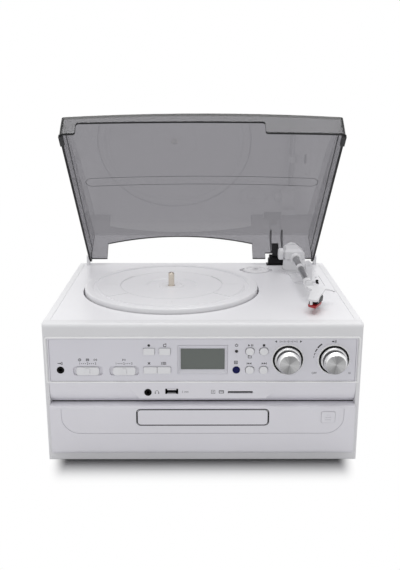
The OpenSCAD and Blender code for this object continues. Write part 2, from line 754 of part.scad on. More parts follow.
module head_shell() {
  color([0.95, 0.95, 0.95]) {
    difference() {
      union() {
        translate([arm_x, tube_end_y, tube_end_z - 0.8]) rod_y(-16, 3, 5);
        translate([arm_x, tube_end_y, head_top - head_t]) linear_extrude(head_t) polygon([for (p = head_plan()) p]);
        // lips along the plate's sides and a tab at its front
        translate([arm_x, tube_end_y, head_top - head_t - 2]) linear_extrude(3) {
          polygon([[-0.4, -36], [0.8, -36.3], [-7.2, -68.5], [-8.4, -68.2]]);
          polygon([[14.4, -33.4], [13.2, -33.8], [1.6, -70.4], [2.8, -70]]);
        }
      }
      tube_place() rod_y(-tube_len, -tube_len + 8, tube_r + 0.2);
      translate([arm_x, tube_end_y, head_top]) rod_y(-12.6, -8, 5.4);
    }
    head_place(head_top - 6) translate([-3.4, -46.4, 0]) cube([3, 1.4, 5]);
    // finger lift, a thin bent tab
    translate([arm_x, tube_end_y, head_top - 1.8]) linear_extrude(1.4)
      polygon([[14, -31.6], [16.4, -28.6], [21.4, -29.6], [24.6, -32.6], [26.8, -38], [25.2, -38.4], [23, -33.8], [20.4, -31.4], [16, -30.6]]);
  }
}

module cartridge() {
  top = head_top - head_t;
  color([0.07, 0.07, 0.08]) head_place(top) difference() {
    intersection() {
      along_x(16) polygon([[-46, 0], [-47.6, -4.6], [-12, -4.6], [-9, -2.4], [-9, 0]]);
      translate([0, 0, -8]) linear_extrude(9) polygon([[-3.9, -49], [3.9, -49], [5.1, -8], [-5.1, -8]]);
    }
    translate([-3.8, -50, -6]) cube([3.8, 5.4, 7]);
  }
}

module stylus() {
  low = stylus_z;
  color([0.72, 0.07, 0.08]) head_place(low) {
    intersection() {
      along_x(16) polygon([[-50.4, 0.6], [-50.4, 3.6], [-48.6, 3.6], [-48.6, 1.4], [-20, 1.2], [-20, 0.4], [-48, 0]]);
      translate([0, 0, -1]) linear_extrude(6) polygon([[-3.6, -51], [3.6, -51], [4.8, -18], [-4.8, -18]]);
    }
    translate([0, -45, -0.8]) rotate_extrude($fn = 16) polygon([[0, 0], [0.3, 0.4], [0.6, 1.6], [0, 1.6]]);
  }
}

// Post beside the tube with a shelf under its collar
module arm_rest() {
  foot = deck_z + platform_h;
  shelf = rest_tube_z - collar_sleeve_r - 0.3;
  x0 = arm_x + collar_sleeve_r + 0.5;
  color([0.94, 0.94, 0.95]) difference() {
    union() {
      face_on(rest_y - 4, rest_y + 4) {
        polygon([[x0, foot], [x0 + 8.4, foot], [x0 + 8, dz(24)], [x0, dz(24)]]);
        translate([x0 + 4, dz(24)]) circle(4);
      }
      face_on(rest_y - 3, rest_y + 3) polygon([[arm_x - 4.6, shelf - 2.6], [arm_x - 4.6, shelf], [x0 + 1, shelf], [x0 + 1, shelf - 9],
        [arm_x + 2, shelf - 2.6]]);
      translate([x0 - 1.4, rest_y - 5.4, foot]) cube([12, 10.8, 1.6]);
    }
    translate([x0 + 4, rest_y - 5, dz(24)]) rotate([-90, 0, 0]) cylinder(h = 1.8, r = 1.7);
  }
}

// Front

module key_outline(kind) {
  if (kind == "key") round_rect(key_w, key_h, 0.9);
  if (kind == "pair") round_rect(pair_w, key_h, 0.9);
  if (kind == "oval") round_rect(oval_w, oval_h, 3.6);
}

module grown_outline(kind, grow) {
  if (kind == "key") round_rect(key_w + 2 * grow, key_h + 2 * grow, 0.9);
  if (kind == "pair") round_rect(pair_w + 2 * grow, key_h + 2 * grow, 0.9);
  if (kind == "oval") round_rect(oval_w + 2 * grow, oval_h + 2 * grow, 3.6);
}

KEYS = [["key", record_x, row_top], ["key", mode_x, row_top], ["pair", pair_x - pair_w / 2 - fit_gap, row_low],
  ["pair", pair_x + pair_w / 2 + fit_gap, row_low], ["oval", play_x, row_top], ["oval", stop_x, row_top], ["oval", play_x, row_low],
  ["oval", stop_x, row_low]];

module key_holes() {
  for (k = KEYS) translate([k[1], dz(-k[2])]) grown_outline(k[0], fit_gap + 0.05);
}

// A cap through the plate, a flange that stops it behind the fascia and a stem to its switch
module key(i) {
  k = KEYS[i];
  color([0.93, 0.93, 0.95]) translate([k[1], 0, dz(-k[2])]) {
    face_on(key_front, wall_back) {
      if (k[0] == "oval") round_rect(oval_w - 0.4, oval_h - 0.5, 3.5);
      else key_outline(k[0]);
    }
    face_on(wall_back, wall_back + key_flange) {
      if (k[0] == "oval") grown_outline(k[0], 1);
      else square([(k[0] == "key" ? key_w : pair_w) - 0.2, key_h + 2], center = true);
    }
    rod_y(wall_back, stem_end, stem_r);
  }
}

module button_record() { key(0); }
module button_mode() { key(1); }
module button_delete() { key(2); }
module button_preset() { key(3); }
module button_play() { key(4); }
module button_stop() { key(5); }
module button_back() { key(6); }
module button_next() { key(7); }

module eject_outline(grow) {
  round_rect(eject_w + 2 * grow, eject_h + 2 * grow, 2);
}

eject_stem = fy(3);

module button_eject() {
  color([0.92, 0.92, 0.94]) translate([eject_x, 0, tray_z]) {
    difference() {
      face_on(lower_front - 0.4, lower_back) eject_outline(0);
      face_on(lower_front - 1, lower_front) {
        translate([0, 0.6]) polygon([[-3.2, -1], [3.2, -1], [0, 3]]);
        translate([0, -2.6]) square([6.4, 1.2], center = true);
      }
    }
    face_on(lower_back, lower_back + key_flange) eject_outline(1);
    rod_y(lower_back, eject_stem - press, stem_r);
  }
}

module slider_slots(w, h, r) {
  for (x = [function_x, band_x]) translate([x, dz(-slider_drop)]) round_rect(w, h, r);
}

// A cap with a grip rib, on a stem that reaches into its switch
module slider(x) {
  cap_h = slot_h - 1.2;
  floor_y = plate_back + 1;
  color([0.93, 0.93, 0.95]) translate([x, 0, dz(-slider_drop)]) {
    face_on(plate_front - 1.2, floor_y - 0.3) round_rect(slider_w, cap_h, slot_r - 0.4);
    face_on(plate_front - 2.4, plate_front) round_rect(4.4, cap_h - 2.2, 1.2);
    face_on(floor_y - 1, board_y - 4) square([6, 3.4], center = true);
  }
}

module function_slider() { slider(function_x); }
module band_slider() { slider(band_x); }

module control_plate() {
  color([0.77, 0.765, 0.80]) face_on(plate_front, plate_back) difference() {
    translate([0, z_plate - plate_h / 2]) round_rect(plate_w - 2 * fit_gap, plate_h - 2 * fit_gap, 1.5);
    key_holes();
    slider_slots(slot_w, slot_h, slot_r);
    translate([0, dz(-lcd_drop)]) square([bezel_w + 2 * fit_gap, bezel_h + 2 * fit_gap], center = true);
    translate([led_x, dz(-row_top)]) circle(led_d / 2 + 0.1);
    translate([led_x, dz(-row_low)]) circle(ir_d / 2 + 0.1);
    translate([aux_x, dz(-row_low)]) circle(jack_d / 2 + 0.1);
    for (x = [tuning_x, volume_x]) translate([x, dz(-knob_drop)]) circle(collar_r + 0.8 + fit_gap);
  }
}

// Outer side view of the fascia
module fascia_profile() {
  polygon([[fy(fascia_d), z_top], [fy(rim_slant), z_top], [front_y, z_top - rim_h + 0.4], [front_y, z_roll],
    for (a = [10:10:90]) [front_y + roll_d * (1 - cos(a)), z_roll - roll_h * sin(a)],
    [front_y + roll_d, z_shelf],
    for (a = [0:22.5:90]) [lower_front + lower_round * (1 - sin(a)), z_shelf - lower_round * (1 - cos(a))],
    for (a = [0:15:90]) [lower_front + lower_out * (1 - cos(a)), z_bottom + lower_edge * (1 - sin(a))],
    [fy(fascia_d), z_bottom]]);
}

// Space inside its wall
module fascia_hollow() {
  w = fascia_wall;
  polygon([[fy(fascia_d) + 1, z_top - w], [wall_back, z_top - w], [wall_back, z_plate_low - w + 1], [front_y + w, z_plate_low - w], [front_y + w, z_roll],
    for (a = [10:10:90]) [front_y + roll_d - (roll_d - w) * cos(a), z_roll - (roll_h - w) * sin(a)],
    [front_y + roll_d + w, z_crease + w], [front_y + roll_d + w, z_shelf - w], [lower_back, z_shelf - w],
    [lower_back, z_bottom + w], [fy(fascia_d) + 1, z_bottom + w]]);
}

function tongue_plan(inset) = let (
  low = deck_z - tongue_drop + inset,
  high = z_roll + 2,
  half_low = tongue_w / 2 - inset * 0.6,
  half_high = half_low + (high - low) * tongue_slant)
  [[-half_low, low], [half_low, low], [half_high, high], [-half_high, high]];

module groove_line(inset) {
  w = body_w - 2 * groove_inset - 2 * inset;
  high = z_shelf - 3;
  low = deck_z - groove_drop + inset;
  r = groove_r - inset;
  translate([-w / 2, low + r]) square([w, high - low - r + (inset > 0 ? 1 : 0)]);
  translate([-w / 2 + r, low]) square([w - 2 * r, r + 1]);
  for (x = [-1, 1]) translate([x * (w / 2 - r), low + r]) circle(r);
}

module board_posts() {
  for (x = [-150, -66, 31, 112], z = [-23, -60]) translate([x, 0, dz(z)]) rod_y(wall_back - e, board_y, 2.6);
  for (x = [-12, 12]) translate([eject_x + x, 0, tray_z]) rod_y(lower_back - e, eject_stem + 5.5, 2.2);
}

module front_fascia() {
  color([0.90, 0.90, 0.93]) union() {
    difference() {
      union() {
        along_x(fascia_w) fascia_profile();
        face_on(front_y, front_y + roll_d) polygon(tongue_plan(0));
      }
      along_x(fascia_w - 2 * fascia_wall) fascia_hollow();
      face_on(front_y + fascia_wall, front_y + roll_d + 3) polygon(tongue_plan(fascia_wall));
      // seat of the control plate
      face_on(front_y - 1, plate_back) translate([0, z_plate - plate_h / 2]) round_rect(plate_w, plate_h, 1.5);
      along_x(plate_w - 3) polygon([[front_y - 1, z_plate_low - plate_bevel - 1], [front_y - e, z_plate_low - plate_bevel],
        [plate_front, z_plate_low + 0.1], [front_y - 1, z_plate_low + 0.1]]);
      // openings behind the control plate
      face_on(plate_back - 1, wall_back + 1) {
        key_holes();
        translate([0, dz(-lcd_drop)]) square([bezel_w + 2 * fit_gap, bezel_h + 2 * fit_gap], center = true);
        translate([led_x, dz(-row_top)]) circle(led_d / 2 + 0.1);
        translate([led_x, dz(-row_low)]) circle(ir_d / 2 + 0.1);
        translate([aux_x, dz(-row_low)]) circle(jack_d / 2 + 0.1);
        for (x = [tuning_x, volume_x]) translate([x, dz(-knob_drop)]) circle(collar_r - 0.7);
        slider_slots(7 + 2 * slider_travel, 4.4, 0.8);
      }
      face_on(plate_back - 1, plate_back + 1) slider_slots(slot_w, slot_h, slot_r);
      // sockets in the tongue
      face_on(front_y - 1, front_y + fascia_wall + 1) {
        translate([phones_x, dz(-socket_drop)]) circle(jack_d / 2 + 0.1);
        translate([usb_x, dz(-socket_drop + 1.2)]) square([usb_w + 1.2, usb_h + 1.2], center = true);
        translate([card_x, dz(-socket_drop)]) square([card_w + 1.8, card_h], center = true);
      }
      // disc tray and its eject button
      face_on(lower_front - 1, lower_back + 2) {
        translate([0, tray_z]) round_rect(tray_w + 2 * tray_gap, tray_h + 2 * tray_gap, 4 + tray_gap);
        translate([eject_x, tray_z]) eject_outline(fit_gap);
      }
      // groove round the lower panel's face
      face_on(lower_front - 1, lower_front + groove_cut) difference() {
        groove_line(0);
        groove_line(groove_cut);
      }
    }
    board_posts();
  }
}

module lcd_bezel() {
  color([0.80, 0.80, 0.83]) translate([0, 0, dz(-lcd_drop)]) difference() {
    union() {
      face_on(front_y + 0.3, wall_back) square([bezel_w, bezel_h], center = true);
      face_on(wall_back, wall_back + 1.2) square([bezel_w + 3, bezel_h + 3], center = true);
    }
    hull() {
      face_on(front_y + 0.2, front_y + 0.3) square([bezel_w - 1.4, bezel_h - 1.4], center = true);
      face_on(front_y + 3, front_y + 3.1) square([lcd_w, lcd_h], center = true);
    }
    face_on(front_y + 2, front_y + 4) square([lcd_w, lcd_h], center = true);
    face_on(front_y + 3.1, wall_back + 2) square([lcd_w + 2, lcd_h + 2], center = true);
  }
}

module lcd_window() {
  color([0.41, 0.44, 0.40, 0.9]) translate([0, 0, dz(-lcd_drop)]) face_on(front_y + 3.1, front_y + 4.3)
    square([lcd_w + 1.8, lcd_h + 1.8], center = true);
}

module power_led() {
  color([0.20, 0.03, 0.03]) translate([led_x, 0, dz(-row_top)]) {
    rod_y(plate_front + 0.4, board_y, led_d / 2);
    translate([0, plate_front + 0.4, 0]) sphere(led_d / 2);
  }
}

module ir_lens() {
  color([0.06, 0.07, 0.22]) translate([led_x, 0, dz(-row_low)]) {
    rod_y(plate_front - 0.3, wall_back, ir_d / 2);
    rod_y(wall_back, wall_back + 1.4, ir_d / 2 + 1.2);
  }
}

module knob_collars() {
  color([0.95, 0.95, 0.96]) for (x = [tuning_x, volume_x]) translate([x, plate_back, dz(-knob_drop)]) rotate([90, 0, 0])
    rotate_extrude($fn = 96) polygon([[collar_r, 0], [collar_r + 0.8, 0], [collar_r + 0.8, plate_t], [collar_out, plate_t],
      [collar_out - 0.2, plate_t + 0.9], [collar_r + 0.7, plate_t + 1.6], [collar_r, plate_t + 1.2]]);
}

// Skirt, waist and spun face, with the shaft that it turns
module knob(x) {
  skirt_y = front_y + 1.1;
  color([0.72, 0.72, 0.71]) translate([x, 0, dz(-knob_drop)]) {
    difference() {
      translate([0, skirt_y, 0]) rotate([90, 0, 0]) rotate_extrude($fn = 96) polygon([[0, 0], [skirt_r - 0.4, 0], [skirt_r, 0.6], [skirt_r, 3],
        [skirt_r - 0.8, 4.2], [knob_r + 0.7, 4.8], [knob_r + 0.2, 5.6], [knob_r, 7],
        [knob_r, knob_out + 0.4], [knob_r - 0.7, knob_out + 1.1], [0, knob_out + 1.1]]);
      rod_y(front_y - 2, skirt_y + 1, 5.4);
    }
    rod_y(front_y - 4, board_y - 1.2, shaft_r);
  }
}

module tuning_knob() { knob(tuning_x); }
module volume_knob() { knob(volume_x); }

module tact_switch() {
  face_on(board_y - switch_h, board_y) square(switch_size, center = true);
  rod_y(board_y - switch_h - plunger_h, board_y - switch_h + 1, plunger_r);
}

// Control board with its switches, plus the small boards under the sockets and behind the eject button
module front_board() {
  color([0.13, 0.36, 0.22]) {
    face_on(board_y, board_y + pcb_t) difference() {
      translate([0, dz(-41.5)]) square([plate_w - 15.8, plate_h - 2.1], center = true);
      for (x = [tuning_x, volume_x]) translate([x, dz(-knob_drop)]) circle(2);
      translate([aux_x, dz(-row_low)]) square([14, 14], center = true);
    }
    for (k = KEYS) translate([k[1], 0, dz(-k[2])]) tact_switch();
    // display module
    translate([0, 0, dz(-lcd_drop)]) face_on(front_y + 4.4, board_y) square([lcd_w + 1.4, lcd_h + 1.4], center = true);
    // rotary encoder and potentiometer
    for (x = [tuning_x, volume_x]) translate([x, 0, dz(-knob_drop)]) difference() {
      union() {
        face_on(wall_back + 0.3, board_y) square(13, center = true);
        rod_y(front_y + 0.4, wall_back + 1, shaft_r + 0.8);
      }
      rod_y(front_y - 1, board_y - 1, shaft_r + run_gap);
    }
    // slide switches
    for (x = [function_x, band_x]) translate([x, 0, dz(-slider_drop)]) difference() {
      face_on(board_y - 6, board_y) square([20, 8], center = true);
      face_on(board_y - 7, board_y - 2) square([7 + 2 * slider_travel, 4], center = true);
    }
    // board under the sockets
    translate([usb_x - 9, front_y + 4, deck_z - socket_drop - usb_h / 2 - pcb_t + 0.7]) cube([card_x - usb_x + 26, 30, pcb_t]);
    // eject switch on its own board
    translate([eject_x, 0, tray_z]) {
      face_on(eject_stem + 5.5, eject_stem + 5.5 + pcb_t) square([30, 14], center = true);
      face_on(eject_stem + 2, eject_stem + 5.5) square(switch_size, center = true);
      rod_y(eject_stem + fit_gap, eject_stem + 2, plunger_r);
    }
  }
}

// The auxiliary input and the headphone socket are alike
module phone_jacks() {
  color([0.06, 0.06, 0.07]) {
    for (p = [[aux_x, -row_low, plate_front, wall_back], [phones_x, -socket_drop, front_y, front_y + fascia_wall]])
      translate([p[0], 0, dz(p[1])]) difference() {
        union() {
          rod_y(p[2] - 0.3, p[3] + 1, jack_d / 2);
          translate([-5.5, p[3], -4.2]) cube([11, 12, 8.4]);
        }
        rod_y(p[2] - 1, p[2] - 0.3 + 14, jack_bore / 2);
      }
  }
}

module usb_port() {
  color([0.70, 0.70, 0.72]) translate([usb_x, 0, dz(-socket_drop + 1.2)]) {
    difference() {
      face_on(front_y - 0.2, front_y + 14) square([usb_w + 0.8, usb_h + 0.8], center = true);
      face_on(front_y - 1, front_y + 12.6) square([usb_w, usb_h], center = true);
    }
    face_on(front_y + 5, front_y + 13) translate([0, 0.9]) square([usb_w - 1.6, 1.9], center = true);
  }
}

module sd_socket() {
  low = deck_z - socket_drop - usb_h / 2 + 0.7;
  color([0.20, 0.20, 0.21]) difference() {
    translate([card_x - card_w / 2 - 1.6, front_y + fascia_wall + 0.2, low]) cube([card_w + 3.2, 27, 4.4]);
    translate([card_x, 0, dz(-socket_drop)]) face_on(front_y + 1, front_y + fascia_wall + 24) square([card_w, card_h], center = true);
  }
}

// Disc player

module tray_front() {
  color([0.92, 0.92, 0.94]) face_on(lower_front - 0.3, tray_back) translate([0, tray_z]) round_rect(tray_w, tray_h, 4);
}

module rack_teeth() {
  pitch = PI * gear_module;
  for (y = [gear_y - 6 : pitch : tray_back + tray_len - 2])
    polygon([[gear_x + gear_pitch_r + 1.2, y - 1.05 + 1], [gear_x + gear_pitch_r - 0.75, y - 0.42 + 1], [gear_x + gear_pitch_r - 0.75, y + 0.42 + 1],
      [gear_x + gear_pitch_r + 1.2, y + 1.05 + 1]]);
}

module cd_tray() {
  color([0.16, 0.16, 0.17]) difference() {
    union() {
      translate([-tray_half, tray_back, tray_low]) cube([2 * tray_half, tray_len, tray_t]);
      translate([0, 0, tray_low - rack_h]) linear_extrude(rack_h + 1) {
        translate([gear_x + gear_pitch_r + 1.1, gear_y - 7]) square([3, tray_back + tray_len - gear_y + 7]);
        rack_teeth();
      }
    }
    translate([0, disc_y, tray_high - 1.6]) cylinder(h = 3, r = disc_d / 2, $fn = 120);
    translate([0, disc_y, tray_high - 2.4]) cylinder(h = 3, r = 40.4, $fn = 96);
    translate([0, 0, tray_low - 1]) linear_extrude(tray_t + 2) {
      translate([0, disc_y]) circle(17);
      translate([-15, disc_y]) square([30, tray_back + tray_len - disc_y - 14]);
    }
    for (x = [-1, 1]) translate([x * (disc_d / 2 - 1), disc_y, tray_high - 1.6]) cylinder(h = 3, r = 9);
  }
}

module tray_gear() {
  low = tray_low - rack_h + 0.4;
  color([0.88, 0.88, 0.84]) translate([gear_x, gear_y, low]) linear_extrude(rack_h - 0.8) difference() {
    union() {
      circle(gear_pitch_r - 1.35, $fn = 64);
      for (i = [0:gear_teeth - 1]) rotate([0, 0, (i + 0.5) * 360 / gear_teeth + gear_phase])
        polygon([[gear_pitch_r - 1.6, -0.95], [gear_pitch_r - 0.2, -0.68], [gear_pitch_r + 0.85, -0.3],
          [gear_pitch_r + 0.85, 0.3], [gear_pitch_r - 0.2, 0.68], [gear_pitch_r - 1.6, 0.95]]);
    }
    circle(1.5 + run_gap);
  }
}

// Turns the pinion so that a gap faces the rack tooth beside it
gear_phase = let (
  pitch = PI * gear_module,
  first = gear_y - 6 + 1,
  nearest = first + round((gear_y - first) / pitch) * pitch)
  (nearest - gear_y) / gear_pitch_r * 180 / PI;

module cd_drive_chassis() {
  wall_x = tray_half + 0.4;
  top = tray_z + 7;
  color([0.30, 0.30, 0.31]) {
    translate([-chassis_half, chassis_y, chassis_z]) cube([2 * chassis_half, chassis_len, 2]);
    for (s = [-1, 1]) {
      translate([s > 0 ? wall_x : -chassis_half, chassis_y, chassis_z]) cube([chassis_half - wall_x, chassis_len, top - chassis_z]);
      for (z = [tray_low - rail_gap - 2, tray_high + rail_gap])
        translate([s > 0 ? wall_x - 2.6 : -wall_x - e, chassis_y, z]) cube([2.6 + e, chassis_len, 2]);
      for (y = [8, chassis_len - 8]) translate([s * (chassis_half - 5), chassis_y + y, foot_h + base_t])
        cylinder(h = chassis_z - foot_h - base_t + 1, r = 4);
    }
    // disc motor, its hub and the gear's axle
    translate([0, disc_y, chassis_z]) {
      cylinder(h = tray_low - chassis_z - 3.4, r = 13);
      cylinder(h = tray_low - chassis_z - 0.5, r = 7.4);
    }
    translate([gear_x, gear_y, chassis_z]) {
      cylinder(h = tray_low - rack_h - chassis_z, r = 4);
      cylinder(h = tray_low - chassis_z - 0.3, r = 1.5);
    }
    // optical pickup on its two rods
    for (x = [-1, 1]) translate([x * 14, disc_y, chassis_z + 6]) {
      rod_y(20, 68, 1.5);
      for (y = [20, 66]) translate([-2.5, y, -5]) cube([5, 2.4, 7.5]);
    }
    translate([-17, disc_y + 28, chassis_z + 3.6]) cube([34, 20, 8]);
    // bridge over the tray with the disc clamp
    translate([-chassis_half, disc_y - 12, top]) cube([2 * chassis_half, 24, 2]);
    translate([0, disc_y, tray_high + 1]) cylinder(h = top - tray_high, r = 13);
  }
}

// Inside and behind

module speakers() {
  depth = 33;
  color([0.14, 0.14, 0.15]) for (s = [-1, 1])
    translate([s * (inner_w / 2), fy(speaker_y), dz(-speaker_drop)]) rotate([0, -s * 90, 0]) difference() {
      rotate_extrude($fn = 64) polygon([[0, 8], [speaker_d / 2 - 12, 3], [speaker_d / 2 - 5, 1.2], [speaker_d / 2 - 3, 0], [speaker_d / 2, 0],
        [speaker_d / 2, 2.4], [speaker_d / 2 - 5, 3.6], [20, 17], [20, depth], [0, depth]]);
    }
}

module main_board() {
  z = foot_h + base_t + 6;
  color([0.13, 0.36, 0.22]) {
    translate([-66, fy(188), z]) cube([160, 72, pcb_t]);
    for (x = [-60, 88], y = [193, 255]) translate([x, fy(y), foot_h + base_t]) cylinder(h = 6, r = 3);
    translate([10, fy(226), z + pcb_t - e]) cube([50, 4, 24]);
    for (i = [0:6]) translate([10 + i * 8, fy(230) - e, z + pcb_t - e]) cube([2, 8, 24]);
    for (x = [-50, -34, -18]) translate([x, fy(240), z]) cylinder(h = 22, r = 6);
    translate([-50, fy(200), z]) cube([24, 16, 4]);
    translate([70, fy(200), z]) cube([14, 22, 12]);
  }
}

module power_transformer() {
  z = foot_h + base_t;
  color([0.52, 0.50, 0.46]) translate([52 - half_w, back_y - 50, z]) {
    translate([-30, -20, 0]) cube([60, 40, 4]);
    translate([-26, -12, 4 - e]) cube([52, 24, 42]);
    translate([-17, -21, 10]) cube([34, 42, 28]);
  }
}

// Mains inlet and the pair of line outputs
module rear_sockets() {
  color([0.10, 0.10, 0.11]) {
    translate([112, 0, dz(-122)]) difference() {
      union() {
        face_on(back_y - 16, back_y + 1.2) round_rect(20.4, 12.4, 3);
        face_on(back_y + 0.05, back_y + 1.2) round_rect(27, 16, 4);
      }
      face_on(back_y - 11, back_y + 3) for (x = [-4, 4]) translate([x, 0]) circle(4.2);
    }
    for (x = [-4, 4]) translate([112 + x, 0, dz(-122)]) rod_y(back_y - 12, back_y - 1, 1.2);
    for (i = [0, 1]) translate([-112 + i * 18, 0, dz(-120)]) {
      difference() {
        rod_y(back_y - 12, back_y + 9, 4.15);
        rod_y(back_y - 2, back_y + 10, 1.6);
      }
      rod_y(back_y + 0.05, back_y + 1.6, 6.4);
    }
  }
}

// Dust cover

module swung_open() {
  translate([0, pin_y, pin_height]) rotate([-cover_open, 0, 0]) translate([0, -pin_y, -pin_height]) children();
}

// Side view of the closed cover, pulled in by inset on its outer faces
module cover_side(inset) {
  front = cover_back - cover_len - cover_bow;
  slope = (cover_rear_h - cover_front_h - cover_crown) / (cover_len + cover_bow);
  polygon([[front - 1, cover_rim - (inset > 0 ? 1 : 0)], [cover_back - inset, cover_rim - (inset > 0 ? 1 : 0)],
    [cover_back - inset, cover_rim + cover_rear_h - 2 - inset], [cover_back - 2 - inset, cover_rim + cover_rear_h - inset],
    [front - 1, cover_rim + cover_front_h + cover_crown - slope - inset]]);
}

// Plan with the bowed front edge and rounded front corners
module cover_plan(inset) {
  half = cover_w / 2;
  bow_r = (half * half + cover_bow * cover_bow) / (2 * cover_bow);
  front = cover_back - cover_len;
  r = cover_corner - inset;
  intersection() {
    union() {
      translate([-half, front + cover_corner]) square([2 * half, cover_len + 1]);
      translate([cover_corner - half, front - cover_bow - 1]) square([2 * (half - cover_corner), 30]);
      for (x = [-1, 1]) translate([x * (half - inset - r), front + cover_corner]) circle(r);
    }
    translate([0, front - cover_bow + bow_r]) circle(bow_r - inset, $fn = 720);
  }
}

// A wide drum whose lowered front crowns the top: its crown runs out towards the rear
module cover_drum(inset) {
  half = cover_w / 2;
  drum_r = half * half / (2 * cover_crown);
  fall = (cover_rear_h - cover_front_h + 2 * cover_crown) / cover_len;
  translate([0, cover_back - cover_len, cover_rim + cover_front_h + cover_crown]) rotate([atan(fall), 0, 0])
    translate([0, 0, -drum_r]) rod_y(-20, cover_len + 40, drum_r - inset, $fn = 1440);
}

module cover_front_view(inset) {
  z0 = cover_rim - 1;
  z1 = cover_rim + cover_rear_h + 1;
  lean = cover_lean / cover_rear_h;
  a = cover_w / 2 - inset + lean;
  b = a - lean * (z1 - z0);
  polygon([[-a, z0], [a, z0], [b, z1], [-b, z1]]);
}

module cover_solid(inset) {
  intersection() {
    along_x(cover_w + 4) cover_side(inset);
    cover_drum(inset);
    translate([0, 0, cover_rim - 2]) linear_extrude(cover_rear_h + 4) cover_plan(inset);
    face_on(front_y - 10, back_y + 4) cover_front_view(inset);
  }
}

// Opening in the rear wall: a low arch between two flaps, and a notch for the brace
module rear_arch() {
  left = 25 - cover_w / 2;
  right = cover_w / 2 - 85;
  rise = 12.4;
  mid = (left + right) / 2;
  half = (right - left) / 2;
  r = (half * half + rise * rise) / (2 * rise);
  springing = cover_rim + 27.6;
  intersection() {
    translate([left, cover_rim - 3]) square([2 * half, 60]);
    translate([mid, springing + rise - r]) circle(r, $fn = 240);
  }
  translate([brace_x - brace_w / 2 - 5.8, cover_rim - 3]) square([brace_w + 9.8, 15]);
}

// Low opening in the front wall, with rounded corners
module front_notch() {
  left = 17.4 - cover_w / 2;
  right = cover_w / 2 - 87.4;
  top = cover_rim + 15.5;
  difference() {
    union() {
      translate([(left + right) / 2, top - 15]) round_rect(right - left, 30, 3);
      translate([left - 3, cover_rim - 10]) square([right - left + 6, 13]);
    }
    for (x = [left - 3, right + 3]) translate([x, cover_rim + 3]) circle(3);
  }
}

module dust_cover() {
  color([0.40, 0.40, 0.42, 0.55]) swung_open() {
    difference() {
      union() {
        difference() {
          cover_solid(0);
          cover_solid(cover_t);
        }
        // ears that turn on the hinge pins
        for (s = [-1, 1]) translate([s * (cover_w / 2 - cover_t / 2 - 0.15), 0, 0]) along_x(cover_t - 0.2) {
          translate([pin_y, pin_height]) circle(5.6);
          translate([pin_y - 12, cover_rim]) square([9.1, pin_height - cover_rim + 5.6]);
          translate([pin_y - 4, pin_height - 5.6]) square([4, 11.2]);
        }
        // ribs beside the brace's leaf
        for (x = rib_span) translate([x, 0, 0]) along_x(1.6) polygon([[cover_back - cover_t + e, cover_rim + 13],
          [cover_back - cover_t + e, cover_rim + cover_rear_h - cover_t], [cover_back - 15, cover_rim + cover_rear_h - cover_t - 1.1],
          [cover_back - 15, cover_rim + cover_rear_h - cover_t - 3], [cover_back - cover_t - 6, cover_rim + 30], [cover_back - cover_t - 3, cover_rim + 13]]);
      }
      // low front opening
      face_on(front_y - 10, front_y + 20) front_notch();
      face_on(cover_back - cover_t - 0.4, cover_back + 2) rear_arch();
      face_on(cover_back - cover_t - 0.4, cover_back + 2) translate([-cover_w / 2, cover_rim - 3]) square([cover_w, 6]);
      translate([0, pin_y, pin_height]) rod_x(-cover_w / 2 - 2, cover_w / 2 + 2, pin_r + run_gap);
    }
  }
}

module lid_bumpers() {
  len = 15;
  y = cover_back - cover_len + cover_corner + len / 2;
  color([0.05, 0.05, 0.05]) swung_open() for (s = [-1, 1])
    translate([s * (cover_w / 2 - cover_t / 2 - 0.1), y + len / 2, 0]) rotate([90, 0, 0]) linear_extrude(len) difference() {
      translate([-2.3, cover_rim - cover_lift + 0.3]) square([4.6, cover_lift + 2.4]);
      translate([-cover_t / 2 - 0.25, cover_rim]) square([cover_t + 0.5, 4]);
    }
}

module friction_hinge() {
  knuckle = brace_knuckle;
  color([0.07, 0.07, 0.08]) {
    difference() {
      translate([brace_x - brace_w / 2, pin_y - 5, deck_z]) cube([brace_w, 5 + pin_back, 2.4]);
      translate([brace_x, pin_y - 0.5, deck_z - 1]) rotate([0, 0, 0]) cylinder(h = 5, r = 1.6);
    }
    for (s = [-1, 1]) translate([brace_x + s * (brace_w / 2 - knuckle / 2), 0, 0]) along_x(knuckle) {
      translate([pin_y, pin_height]) circle(brace_r);
      translate([pin_y - brace_r, deck_z + 2]) square([2 * brace_r, pin_z - 2]);
    }
    translate([0, pin_y, pin_height]) rod_x(brace_x - brace_w / 2, brace_x + brace_w / 2, 1.6);
  }
}

module hinge_leaf() {
  w = brace_w - 2 * brace_knuckle - 0.6;
  wall_in = cover_back - cover_t - 0.1;
  color([0.07, 0.07, 0.08]) swung_open() difference() {
    union() {
      translate([brace_x, 0, 0]) along_x(w) {
        translate([pin_y, pin_height]) circle(brace_r);
        translate([wall_in - 2.4, pin_height - 2.2]) square([pin_y - wall_in + 2.4, 4.4]);
      }
      translate([brace_x, 0, 0]) along_x(9.2) translate([wall_in - 2.4, cover_rim + 9]) square([2.4, 17]);
      translate([brace_x, 0, 0]) along_x(w) translate([wall_in - 2.4, pin_height - 2.2]) square([2.4, 8]);
    }
    translate([0, pin_y, pin_height]) rod_x(brace_x - brace_w, brace_x + brace_w, 1.6 + run_gap);
  }
}

